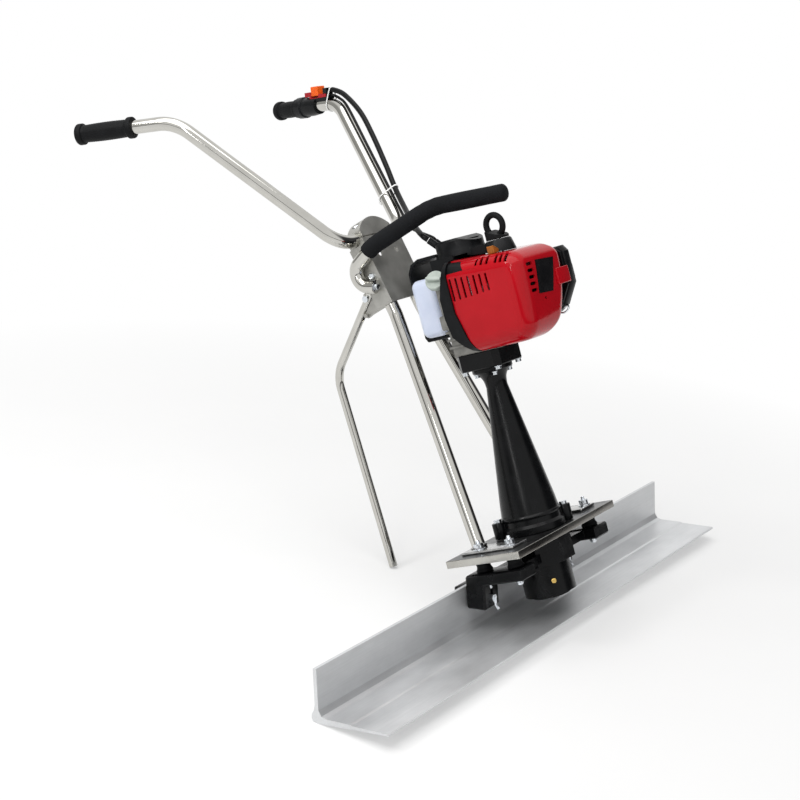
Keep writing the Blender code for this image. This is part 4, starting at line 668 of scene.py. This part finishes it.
def in_blade(place, point):
    """Point of a frame, in the blade's own frame before parking."""
    return (PARK.inverted() @ place) @ Vector(point)


def bar_centre(x):
    return in_blade(BRACKET, (x, BAR_PERP, BAR_ALONG))


def bar_arm(side):
    return [bar_point(side, 0.0), on_side(BAR_ELBOW, side), bar_centre(side * BAR_HALF)]


def build_handlebar():
    path = rounded_path(bar_arm(-1.0) + bar_arm(1.0)[::-1], BAR_BENDS, 14)
    piece(sweep(path, TUBE_RADIUS, 40), "handlebar_tube", CHROME, "handlebar")


def build_poles():
    perp = SHEET + TUBE_RADIUS + GAP
    for side, hand in ((-1.0, "left"), (1.0, "right")):
        pole_x = side * (BRACKET_HALF - perp)
        foot = in_blade(HEAD, (side * POLE_FOOT[0], POLE_FOOT[1], GAP + FOOT_THICK - 0.0006))
        kink, top = [in_blade(BRACKET, (pole_x, perp, along)) for along in POLE_SPAN]
        path = rounded_path([foot, kink, top], [0.06], 8)
        tube = sweep(path, TUBE_RADIUS, 40, TUBE_BORE)
        piece(tube, "frame_tube_" + hand, CHROME, "frame_pole_" + hand)
        near, far = sorted(side * x for x in FOOT_X)
        foot_plate = box((near, FOOT_V[0], GAP), (far, FOOT_V[1], GAP + FOOT_THICK), HEAD, 0.0014)
        piece(foot_plate, "pole_foot_" + hand, FOOT_STEEL)
        lean = (path[1] - path[0]).normalized()
        collar = axis_frame(foot + lean * 0.0008, lean)
        bead = []
        for angle in around(28):
            reach = TUBE_RADIUS + 0.0006 + 0.0004 * math.sin(9.0 * angle)
            bead.append(in_blade(collar, spoke(reach, angle, 0.0012)))
        piece(sweep(bead, 0.0022, 8, closed=True), "pole_weld_" + hand, FOOT_STEEL)


def build_kickstand():
    run = (KICK_BEND - KICK_PIVOT).normalized()
    path = rounded_path([KICK_PIVOT - run * 0.0125, KICK_BEND, KICK_FOOT], [0.07], 14)
    leg = sweep(path, KICK_RADIUS, 36, KICK_BORE)
    half = SHEET + GAP
    cut(leg, box((-half, -0.02, -0.03), (half, 0.02, 0.046), axis_frame(KICK_PIVOT, run)))
    piece(leg, "kickstand_tube", CHROME, "kickstand_leg", body="kickstand")


def build_carry_handle():
    path = rounded_path(CARRY_PATH, CARRY_BENDS, 14)
    piece(sweep(path, TUBE_RADIUS, 40, TUBE_BORE), "carry_tube", CHROME, "carry_handle")
    end = axis_frame(path[0], path[0] - path[1])
    piece(disc(TUBE_BORE - 0.0002, -0.004, 0.0006, 32, end, 0.0004), "carry_plug", FOOT_STEEL)
    hardware(hex_nut(end, 0.0062, 0.0006, 0.0056), "carry_plug_screw")
    start = [i for i, point in enumerate(path) if point.z > FOAM_START][0]
    span = path[-1] - path[-2]
    route = path[start:-1] + [path[-2] + span * share for share in (0.2, 0.4, 0.6, 0.8, 1.0)]
    sizes = [FOAM_RADIUS + 0.00025 * math.sin(5.1 * k) for k in range(len(route))]
    sizes[0] = FOAM_RADIUS - 0.0009
    for sine, cosine in quarter(7, 1):
        route.append(path[-1] + span.normalized() * 0.0095 * sine)
        sizes.append(FOAM_RADIUS - 0.0105 * (1.0 - cosine))
    foam = sweep(route, FOAM_RADIUS, 40, radii=sizes)
    piece(foam, "carry_foam", FOAM, "carry_grip", 60.0)


def grip_profile(length):
    """Barrel between two rolled lips, as a list of (radius, height)."""
    lip = GRIP_RADIUS + 0.0032
    bore = TUBE_RADIUS + GAP
    profile = [(0.0, -0.0055), (GRIP_RADIUS - 0.004, -0.0055)]
    profile += [(GRIP_RADIUS - 0.002 + 0.0052 * s, -0.0008 - 0.0045 * c) for s, c in quarter(6)]
    profile += [(lip - 0.0030 * (1.0 - c), 0.0052 + 0.0028 * s) for s, c in quarter(5, 1)]
    rows = int(length / 0.0028)
    for k in range(1, rows):
        share = k / rows
        swell = 0.0010 * math.sin(math.pi * share)
        rib = 0.00018 if k % 2 else -0.00018
        profile.append((GRIP_RADIUS + swell + rib - 0.0006, 0.0092 + (length - 0.0205) * share))
    profile += [(GRIP_RADIUS + 0.0032 * s, length - 0.0110 + 0.0030 * (1.0 - c)) for s, c in quarter(5)]
    profile += [(lip - 0.0016 * (1.0 - c), length - 0.0022 + 0.0022 * s) for s, c in quarter(5, 1)]
    return profile + [(bore, length), (bore, -GAP), (0.0, -GAP)]


def build_grips():
    for side, length, node, body in GRIPS:
        grip = lathe(grip_profile(length), 56, PARK @ grip_local(side))
        piece(grip, node + "_rubber", RUBBER, node, 50.0, body)


POD_START = 0.1563
POD_END = 0.1675
CABLE_RISE = 0.0267
LEAD_RISE = 0.0172
CABLE_RADIUS = 0.0052
LEAD_RADIUS = 0.0028
TIE_WIDTH = 0.0028
TIE_THICK = 0.0011
CABLE_ENTRY = ((-0.0115, 0.0365, 0.5330), (-0.0175, 0.0500, 0.5500))
LEAD_ENTRY = ((0.0050, 0.0370, 0.5330), (0.0050, 0.0490, 0.5460))


def beside_bar(reach):
    """Points along the right arm of the handlebar, held off its outer side."""
    start = bar_point(1.0, POD_START)
    elbow = Vector(BAR_ELBOW)
    lower = bar_centre(BAR_HALF)
    path = rounded_path([start, elbow, lower], [0.075], 2)
    last = path.pop()
    for share in (0.35, 0.7, 0.88):
        path.append(path[3].lerp(last, share))
    plane = (elbow - start).cross(lower - elbow)
    points = []
    for i in range(len(path)):
        tangent = path[min(i + 1, len(path) - 1)] - path[max(i - 1, 0)]
        points.append(path[i] + tangent.cross(plane).normalized() * reach)
    return points[2:]


def entry_end(entry):
    """Last two points of a line that meets its socket on the starter housing squarely."""
    root = in_blade(SHAFT, entry[0])
    mouth = in_blade(SHAFT, entry[1])
    away = (mouth - root).normalized()
    return [mouth + away * 0.012, mouth + away * 0.0016]


def pod_exit(rise, steps):
    """First points of a line, straight out of the control housing."""
    end = POD_END + GAP
    return [grip_local(1.0) @ Vector((0.0, rise, end + step)) for step in steps]


def cable_path():
    route = [(0.243, 0.458, 0.938), (0.222, 0.409, 0.904), (0.196, 0.366, 0.860), (0.164, 0.318, 0.803),
             (0.137, 0.281, 0.758), (0.096, 0.236, 0.727), (0.060, 0.202, 0.7130), (0.0235, 0.170, 0.7035),
             (-0.002, 0.145, 0.6960)]
    return smooth_path(pod_exit(CABLE_RISE, (0.0, 0.014)) + route + entry_end(CABLE_ENTRY), 12)


def lead_path():
    route = pod_exit(LEAD_RISE, (0.0004, 0.008)) + beside_bar(TUBE_RADIUS + LEAD_RADIUS + 0.0016)
    route += [(0.074, 0.2130, 0.6950), (0.036, 0.1700, 0.6900)]
    return smooth_path(route + entry_end(LEAD_ENTRY), 12)


def build_cables():
    cable = sweep(cable_path(), CABLE_RADIUS, 20)
    piece(cable, "throttle_cable_jacket", CABLE, "throttle_cable", 60.0)
    lead = sweep(lead_path(), LEAD_RADIUS, 16)
    piece(lead, "switch_lead_jacket", CABLE, "switch_lead", 60.0)


def strap(name, centres, radii, normal):
    """Nylon tie pulled around several round runs that cross a plane."""
    side = normal.orthogonal().normalized()
    other = normal.cross(side)
    middle = sum(centres, Vector()) / len(centres)
    count = 72
    ways = [side * math.cos(angle) + other * math.sin(angle) for angle in around(count)]
    spans = [max((c - middle).dot(way) + r for c, r in zip(centres, radii)) for way in ways]
    path = []
    for k, way in enumerate(ways):
        slope = (spans[(k + 1) % count] - spans[k - 1]) * count / (4.0 * math.pi)
        path.append(middle + way * (spans[k] + 0.0007) + normal.cross(way) * slope)
    verts = []
    faces = []
    for k, point in enumerate(path):
        out = (point - middle).normalized() * TIE_THICK
        for across in (normal * TIE_WIDTH * -0.5, normal * TIE_WIDTH * 0.5):
            verts += [point + across, point + out + across]
        a = 4 * k
        b = 4 * ((k + 1) % count)
        faces += [(a, b, b + 1, a + 1), (a + 2, a + 3, b + 3, b + 2)]
        faces += [(a + 1, b + 1, b + 3, a + 3), (a, a + 2, b + 2, b)]
    piece(new_mesh(verts, faces), name, NYLON, limit=50.0)


def nearest(path, target):
    return min(path, key=lambda point: (point - target).length)


def build_ties():
    cable = cable_path()
    lead = lead_path()
    sizes = (TUBE_RADIUS, CABLE_RADIUS, LEAD_RADIUS)
    arm = bar_arm(1.0)
    bar = rounded_path(arm, [0.075], 14)
    spot = bar[4]
    over_cable = nearest(cable, spot + Vector((0.0, 0.0, 0.02)))
    over_lead = nearest(lead, spot + Vector((0.0, 0.0, 0.015)))
    normal = (bar[5] - bar[3]).normalized()
    flat = [p - normal * (p - spot).dot(normal) for p in (spot, over_cable, over_lead)]
    strap("cable_tie_upper", flat, sizes, normal)
    run = (arm[2] - arm[1]).normalized()
    low = arm[1].lerp(arm[2], 0.755)
    flat = [p - run * (p - low).dot(run) for p in (low, nearest(cable, low), nearest(lead, low))]
    strap("cable_tie_lower", flat, sizes, run)
    away = (low - flat[1]).normalized()
    place = axis_frame(low + away * (TUBE_RADIUS + 0.0010), away)
    lock = box((-0.0030, -0.0036, 0.0), (0.0030, 0.0036, 0.0042), place, 0.0008)
    piece(lock, "cable_tie_lock", NYLON)


# Base plate, isolators and hardware

CONE_BASE = 0.0535
CONE_NECK = 0.0195
CONE_LOW_W = 0.034
CONE_NECK_W = 0.268
CONE_TOP_W = 0.3052
CONE_SLOPE = (CONE_NECK - CONE_BASE) / (CONE_NECK_W - CONE_LOW_W)
EAR_REACH = 0.0625 / math.sqrt(2.0)
EAR_TOP = 0.030
EARS = (("back", -EAR_REACH, EAR_REACH), ("front", EAR_REACH, -EAR_REACH))
ADAPTOR_BOLT = 0.035


def hex_nut(place, radius, low, high):
    made = disc(radius, low, high, 6, place)
    round_edges(made, radius * 0.06, 1)
    dome = lathe([(0.0, low - 0.001), (radius * 0.985, low - 0.001), (radius * 0.985, high - radius * 0.10),
                  (radius * 0.80, high + 0.0002), (0.0, high + 0.0002)], 32, place)
    return boolean(made, dome, "INTERSECT")


def threaded(place, low, high):
    """Stud end with rolled thread and a chamfered tip."""
    radius = STUD_RADIUS
    profile = [(0.0, low), (radius, low)]
    pitch = 0.00125
    count = int((high - low - 0.001) / pitch)
    for k in range(count):
        profile.append((radius, low + pitch * (k + 0.25)))
        profile.append((radius - 0.0005, low + pitch * (k + 0.75)))
    profile += [(radius - 0.0004, high - 0.0008), (radius - 0.0012, high), (0.0, high)]
    return lathe(profile, 20, place)


def build_base_plate():
    half = PLATE_LENGTH / 2.0
    plate = box((-half, -PLATE_WIDTH / 2.0, -PLATE_THICK), (half, PLATE_WIDTH / 2.0, 0.0), HEAD, 0.0012)
    piece(plate, "base_plate_body", PLATE_EDGE, "base_plate")
    plate.data.materials.append(PLATE_DARK_REFLECTION)
    plate.data.materials.append(PLATE_SHADED_SIDE)
    turn = HEAD.to_3x3().normalized()
    for face in plate.data.polygons:
        if abs(face.normal.dot(turn.col[2])) > 0.95:
            # top and bottom: the painted dark reflection
            face.material_index = 1
        elif abs(face.normal.dot(turn.col[1])) > 0.95:
            # long sides: the painted shade
            face.material_index = 2


def build_isolators():
    top = -PLATE_THICK - GAP
    bottom = top - ISOLATOR_HEIGHT
    names = ("left_back", "left_front", "right_back", "right_front")
    spots = [(side * MOUNT_X, v) for side in (-1.0, 1.0) for v in MOUNT_V]
    for name, (x, v) in zip(names, spots):
        place = HEAD @ Matrix.Translation((x, v, 0.0))
        profile = [(0.0, top), (ISOLATOR_RADIUS - 0.0008, top), (ISOLATOR_RADIUS, top - 0.0008)]
        for k in range(13):
            share = k / 12.0
            waist = 0.0026 * math.sin(math.pi * share)
            profile.append((ISOLATOR_RADIUS - waist, top - 0.003 - 0.0142 * share))
        profile += [(ISOLATOR_RADIUS, bottom + 0.0008), (ISOLATOR_RADIUS - 0.0008, bottom), (0.0, bottom)]
        rubber = lathe(profile, 40, place)
        piece(rubber, "isolator_rubber_" + name, RUBBER, "isolator_" + name, 50.0)
        floor = GAP + FOOT_THICK
        hardware(disc(0.0112, floor, floor + 0.0018, 32, place, 0.0003), "washer_top_" + name)
        split = disc(0.0082, floor + 0.0018, floor + 0.0038, 32, place, 0.0003)
        piece(split, "spring_washer_" + name, STEEL)
        hardware(hex_nut(place, 0.0090, floor + 0.0038, floor + 0.0110), "nut_top_" + name)
        hardware(threaded(place, floor + 0.0100, floor + 0.0168), "stud_top_" + name)
        low = YOKE_BOTTOM
        hardware(disc(0.0090, low - 0.0015, low, 32, place, 0.0003), "washer_low_" + name)
        acorn = [(0.0, low - 0.0016), (0.0068, low - 0.0016), (0.0068, low - 0.0060)]
        acorn += [(0.0060 * c, low - 0.0064 - 0.0052 * s) for s, c in quarter(8)]
        acorn[-1] = (0.0, acorn[-1][1])
        hardware(lathe(acorn, 32, place), "acorn_nut_" + name)


def cone_radius(w):
    return CONE_BASE + CONE_SLOPE * (w - CONE_LOW_W)


def build_cone():
    low = GAP
    foot = 0.0585
    base = CONE_BASE
    neck = CONE_NECK
    rim = 0.037
    bore = 0.0125
    outer = [(foot - 0.0012, low), (foot, low + 0.0012), (foot, 0.0125), (foot - 0.0015, 0.0142),
             (base + 0.0005, 0.0175), (base, 0.0265), (base + 0.0014, 0.0285), (base + 0.0018, 0.0305),
             (base + 0.0010, 0.0325), (base - 0.0006, 0.0345)]
    for k in range(1, 13):
        w = 0.0345 + (CONE_NECK_W - 0.0345) * k / 12.0
        outer.append((cone_radius(w), w))
    outer += [(neck + 0.0006, 0.2755), (neck + 0.0018, 0.282), (neck + 0.0042, 0.2872),
              (neck + 0.0078, 0.2920), (rim - 0.0060, 0.2962), (rim - 0.0012, 0.2972), (rim, 0.2986),
              (rim, CONE_TOP_W - 0.0010), (rim - 0.0008, CONE_TOP_W)]
    inner = [(bore, CONE_TOP_W), (bore, CONE_NECK_W), (base - 0.0075, 0.040), (base - 0.0075, low)]
    cone = lathe(outer + inner, 72, SHAFT)
    for _, x, v in EARS:
        direction = Vector((x, v, 0.0)).normalized()
        across = Vector((-direction.y, direction.x, 0.0))
        turn = Matrix((direction, across, Vector((0.0, 0.0, 1.0)))).transposed().to_4x4()
        ear = disc(0.0115, low + 0.0006, EAR_TOP, 36, SHAFT @ Matrix.Translation((x, v, 0.0)), 0.0012)
        fuse(cone, ear)
        fuse(cone, box((0.0493, -0.0082, low + 0.0012), (0.0621, 0.0082, 0.0258), SHAFT @ turn))
    piece(cone, "cone_casting", CASTING, "cone_housing", 28.0)
    for index, degrees in enumerate((214.0, 34.0)):
        angle = math.radians(degrees)
        ends = [spoke(cone_radius(w) + 0.0001, angle, w) for w in (0.040, CONE_NECK_W)]
        line = [in_blade(SHAFT, end) for end in ends]
        piece(sweep(line, 0.0009, 10), "cone_parting_line_%d" % (index + 1), CASTING)


def hanging_bolt(name, spot, radius, height):
    """Bolt head under a face of the drive housing or the adaptor, with its washer."""
    place = SHAFT @ Matrix.Translation(spot) @ Matrix.Rotation(math.pi, 4, "X")
    hardware(hex_nut(place, radius, 0.0012, height), name)
    hardware(disc(radius * 1.25, 0.0, 0.0012, 32, place, 0.0003), name + "_washer")


def build_head_hardware():
    for name, x, v in EARS:
        place = SHAFT @ Matrix.Translation((x, v, EAR_TOP + GAP))
        hardware(hex_nut(place, 0.0074, 0.0, 0.0056), "cone_screw_" + name, "cone_bolt_" + name)
    for index in range(4):
        angle = math.radians(218.0 + 90.0 * index)
        spot = spoke(0.0302, angle, 0.2962)
        hanging_bolt("flange_bolt_%d" % (index + 1), spot, 0.0046, 0.0066)
    for index, (x, v) in enumerate(SQUARE):
        spot = (x * ADAPTOR_BOLT, v * ADAPTOR_BOLT, CONE_TOP_W + GAP)
        hanging_bolt("adaptor_bolt_%d" % (index + 1), spot, 0.0056, 0.0064)


# Engine

SHROUD_X = (-0.088, 0.071)
SHROUD_FRONT = -0.148
SHROUD_SPAN = (0.338, 0.506)
SHROUD_WALL = 0.003
SHROUD_ROUND = 0.030
COWL_FALL = 0.095
COWL_DRAW_W = 0.470
COWL_FALL_W = (0.44, 0.50)
BAND_BEND = (0.0, 0.415)
BAND_FOOT = (-0.0205, 0.336)
CRANKCASE_HALF = 0.056
CORNER_STEPS = 16
FOLD_STEPS = 12
TANK_LOW = (-0.056, 0.0525, 0.3795)
TANK_HIGH = (0.050, 0.1045, 0.4850)
FILLER = (0.0785, 0.4480)
ROPE_X = -0.015
ROPE_V = -0.0765
RING_SEAT = 0.5200
RING_RADIUS = 0.0165
RING_HEIGHT = 1.1 * RING_RADIUS
RING_WIRE = 0.0055


def cowl_drop(w):
    """Depth below the height where the cowl starts to draw in."""
    return max(0.0, COWL_DRAW_W - w)


def cowl_front(w):
    return SHROUD_FRONT + 0.7 * cowl_drop(w) ** 2


def cowl_level(w, inset, margin, back):
    """Plan of the cowl at one height; its front and right side draw in towards the bottom."""
    left = SHROUD_X[0] + margin + inset
    far = SHROUD_X[1] - margin - inset
    right = far - 2.6 * cowl_drop(w) ** 2
    front = cowl_front(w) + margin + inset
    corner = SHROUD_ROUND - margin - 0.7 * inset
    points = [(left, back, w)]
    for middle, start in ((left + corner, 1.0), (right - corner, 1.5)):
        for k in range(CORNER_STEPS):
            angle = math.pi * (start + 0.5 * k / (CORNER_STEPS - 1))
            points.append((middle + corner * math.cos(angle), front + corner + corner * math.sin(angle), w))
    points.append((far, back, w))
    share = (w - COWL_FALL_W[0]) / (COWL_FALL_W[1] - COWL_FALL_W[0])
    fall = COWL_FALL * min(1.0, max(0.0, share))
    return [(x, v, height + fall * min(v, 0.0)) for x, v, height in points]


def cowl_block(margin, back):
    """Whole outer form of the cowl, drawn in all round by a margin."""
    low = SHROUD_SPAN[0] + margin
    high = SHROUD_SPAN[1] - margin
    radius = SHROUD_ROUND - margin
    fold = quarter(FOLD_STEPS)
    rows = [(low + radius * (1.0 - c), radius * (1.0 - s)) for s, c in fold]
    rows += [(0.380 + 0.012 * k, 0.0) for k in range(8)]
    rows += [(high - radius * (1.0 - c), radius * (1.0 - s)) for s, c in fold[::-1]]
    return loft([cowl_level(w, inset, margin, back) for w, inset in rows], ENGINE)


def slot_outline(a0, a1, b0, b1):
    """Rounded slot in a plane, longer along b."""
    radius = (a1 - a0) / 2.0
    steps = 5
    outline = []
    for end, start in ((b1 - radius, 0.0), (b0 + radius, 1.0)):
        for k in range(steps + 1):
            angle = math.pi * (start + k / steps)
            outline.append(((a0 + a1) / 2.0 + radius * math.cos(angle), end + radius * math.sin(angle)))
    return outline


def cowl_slots():
    """Louvres on the left, the front and the top edge, a screw hole and the wedge under the step."""
    x0 = SHROUD_X[0]
    slots = []
    for k in range(7):
        v = -0.0045 - 0.0123 * k
        outline = slot_outline(v - 0.0021, v + 0.0021, 0.4340 + 0.0007 * k, 0.4745 - 0.0008 * k)
        slots.append(prism(outline, x0 - 0.01, x0 + 0.01, "X", ENGINE))
    for k in range(5):
        w = 0.4165 + 0.0115 * k
        outline = [(b, a) for a, b in slot_outline(w, w + 0.0058, -0.0640, -0.0440)]
        slots.append(prism(outline, SHROUD_FRONT - 0.02, SHROUD_FRONT + 0.012, "Y", ENGINE))
    for v in (-0.0600, -0.0715, -0.0830, -0.1010, -0.1110, -0.1210):
        edge = SHROUD_SPAN[1] + COWL_FALL * v
        low = (x0 - 0.001, v - 0.0028, edge - 0.0150)
        slots.append(box(low, (x0 + 0.0215, v + 0.0028, edge + 0.006), ENGINE))
    hole = [(-0.0215, SHROUD_FRONT + depth, 0.4010) for depth in (-0.01, 0.012)]
    slots.append(rod(hole[0], hole[1], 0.0030, 20, ENGINE))
    wedge = [(-0.0280, 0.4864), (-0.0300, 0.4818), (-0.0600, 0.4806), (-0.0606, 0.4816)]
    slots.append(prism(wedge, x0 - 0.01, x0 + 0.0045, "X", ENGINE))
    return joined(slots)


def notch_block():
    """Corner of the cowl behind its step, where the black starter housing shows."""
    outline = [(0.010, 0.5045), (-0.0060, 0.5038), (-0.0220, 0.5004), (-0.0335, 0.4830), (0.010, 0.4824)]
    return prism(outline, SHROUD_X[0] - 0.010, SHROUD_X[0] + 0.0200, "X", ENGINE)


def build_cowl():
    x0, x1 = SHROUD_X
    cowl = cowl_block(0.0, 0.040)
    cut(cowl, cowl_block(SHROUD_WALL, 0.060))
    behind = [(BAND_BEND[0], 0.7), BAND_BEND, BAND_FOOT, (BAND_FOOT[0] - 0.002, 0.3), (0.3, 0.3), (0.3, 0.7)]
    cut(cowl, prism(behind, -0.2, 0.2, "X", ENGINE))
    reach = CRANKCASE_HALF + 0.0045 + GAP
    opening = box((-reach, -0.058, 0.30), (0.1, 0.1, 0.423), ENGINE)
    fuse(opening, box((x1 - 0.0312, -0.1123, 0.3883), (0.11, -0.0117, 0.4617), ENGINE))
    cut(cowl, opening)
    tab = box((0.026, SHROUD_FRONT - 0.0022, 0.4160), (0.069, SHROUD_FRONT + 0.0022, 0.4450), ENGINE, 0.0015)
    fuse(cowl, tab)
    cut(cowl, cowl_slots())
    outline = [(0.02, 0.4815), (-0.0600, 0.4806), (-0.0660, 0.5000), (-0.0660, 0.5300), (0.02, 0.5300)]
    step = prism(outline, x0 - 0.01, x0 + 0.0260, "X", ENGINE)
    cut(step, cowl_block(0.0018, 0.060))
    cut(cowl, step)
    cut(cowl, notch_block())
    cut(cowl, rod((ROPE_X, ROPE_V, 0.46), (-0.0650, -0.0966, 0.5797), 0.0034, 16, ENGINE))
    piece(cowl, "cowl_skin", RED, "engine_shroud", 30.0)


def build_cowl_corner():
    corner = boolean(cowl_block(0.0032, 0.0), notch_block(), "INTERSECT")
    piece(corner, "cowl_corner", PLASTIC, limit=40.0)


def build_cowl_panel():
    """Bare black inlay on the cowl's front, following its draw towards the bottom."""
    upper = (Vector((-0.0330, 0.4690)), Vector((0.0290, 0.4660)))
    lower = (Vector((-0.0420, 0.4115)), Vector((0.0060, 0.4090)))
    rows = 10
    columns = 8
    levels = []
    for i in range(rows + 1):
        left, right = [a.lerp(b, i / rows) for a, b in zip(upper, lower)]
        spots = [left.lerp(right, k / columns) for k in range(columns + 1)]
        proud = [(s.x, cowl_front(s.y) - 0.0008, s.y) for s in spots]
        sunk = [(s.x, cowl_front(s.y) + 0.0016, s.y) for s in spots]
        levels.append(proud + sunk[::-1])
    piece(loft(levels, ENGINE), "cowl_inlay", DARK_PANEL)


def build_tank():
    tank = box(TANK_LOW, TANK_HIGH, ENGINE, 0.0135, 8)
    start, end = [(TANK_HIGH[0] + x, *FILLER) for x in (-0.004, 0.0070)]
    fuse(tank, rod(start, end, 0.0150, 40, ENGINE))
    piece(tank, "tank_shell", TANK, "fuel_tank", 40.0)


def build_oil_cap():
    place = axis_frame((-0.0640, 0.0345, 0.4705), (-0.86, -0.20, 0.47), ENGINE)
    base = 0.0075
    rim = 0.0180
    profile = [(0.0, base), (rim - 0.0022, base), (rim - 0.0010, base + 0.0012), (rim, base + 0.0040),
               (rim, base + 0.0096), (rim - 0.0004, base + 0.0110), (rim - 0.0012, base + 0.0121),
               (rim - 0.0022, base + 0.0125), (rim - 0.0032, base + 0.0122), (0.0, base + 0.0119)]
    cap = lathe(profile, 48, place)
    ridge = box((-0.0032, -0.0146, 0.0170), (0.0032, 0.0146, 0.0272), place, 0.0016)
    fuse(cap, ridge)
    piece(cap, "oil_cap_moulding", GREY, "oil_cap", 40.0, "oil_cap")


def build_air_cleaner_clip():
    """Wire clip that holds the air cleaner's cover at its lower front corner."""
    wire = [(0.0795, -0.1010, 0.3690), (0.0795, -0.1085, 0.3640), (0.0800, -0.1165, 0.3645),
            (0.0850, -0.1205, 0.3690), (0.0905, -0.1180, 0.3745), (0.0905, -0.1090, 0.3720)]
    path = smooth_path([in_blade(ENGINE, p) for p in wire], 8)
    piece(sweep(path, 0.0017, 12), "air_cleaner_clip", BRIGHT_ZINC, limit=60.0)


def over_rope(w):
    return ENGINE @ Matrix.Translation((ROPE_X, ROPE_V, w))


def build_starter_ring():
    """Ring on its stem and saddle, and the amber eye beside it on the cowl's top."""
    seat = RING_SEAT
    centre = seat + RING_HEIGHT + RING_WIRE + 0.0006
    foot = centre - RING_RADIUS
    loop = []
    for angle in around(48):
        across = ROPE_V + RING_RADIUS * math.cos(angle)
        loop.append(in_blade(ENGINE, (ROPE_X, across, centre + RING_HEIGHT * math.sin(angle))))
    ring = sweep(loop, RING_WIRE, 20, closed=True)
    stem = [(0.0, seat), (0.0060, seat), (0.0066, seat + 0.0008), (0.0066, foot - 0.002), (0.0058, foot),
            (0.0, foot)]
    fuse(ring, lathe(stem, 28, over_rope(0.0)))
    outline = [(0.0185, 0.0), (0.0185, 0.0150), (0.0120, 0.0172), (-0.0195, 0.0030), (-0.0195, 0.0)]
    saddle = prism(outline, -0.0195, 0.0195, "X", over_rope(seat + GAP))
    boolean(round_edges(saddle, 0.0028, 4), disc(0.0205, -0.001, 0.030, 48, over_rope(seat)), "INTERSECT")
    fuse(ring, saddle)
    piece(ring, "starter_ring", RUBBER, "recoil_handle", 40.0, "starter")
    deck = (ROPE_X - 0.0400, ROPE_V - 0.004, SHROUD_SPAN[1] + COWL_FALL * ROPE_V)
    outline = [(0.0, -0.0010), (0.0230, -0.0010), (0.0230, 0.0020), (0.0030, 0.0125), (0.0, 0.0125)]
    eye = prism(outline, -0.0070, 0.0070, "Y", ENGINE @ Matrix.Translation(deck))
    piece(round_edges(eye, 0.0012), "rope_eye", AMBER)


build_stage()
dress_nodes()
build_handlebar()
build_poles()
build_kickstand()
build_carry_handle()
build_grips()
build_cables()
build_ties()
build_base_plate()
build_isolators()
build_cone()
build_head_hardware()
build_cowl()
build_cowl_corner()
build_cowl_panel()
build_tank()
build_oil_cap()
build_air_cleaner_clip()
build_starter_ring()
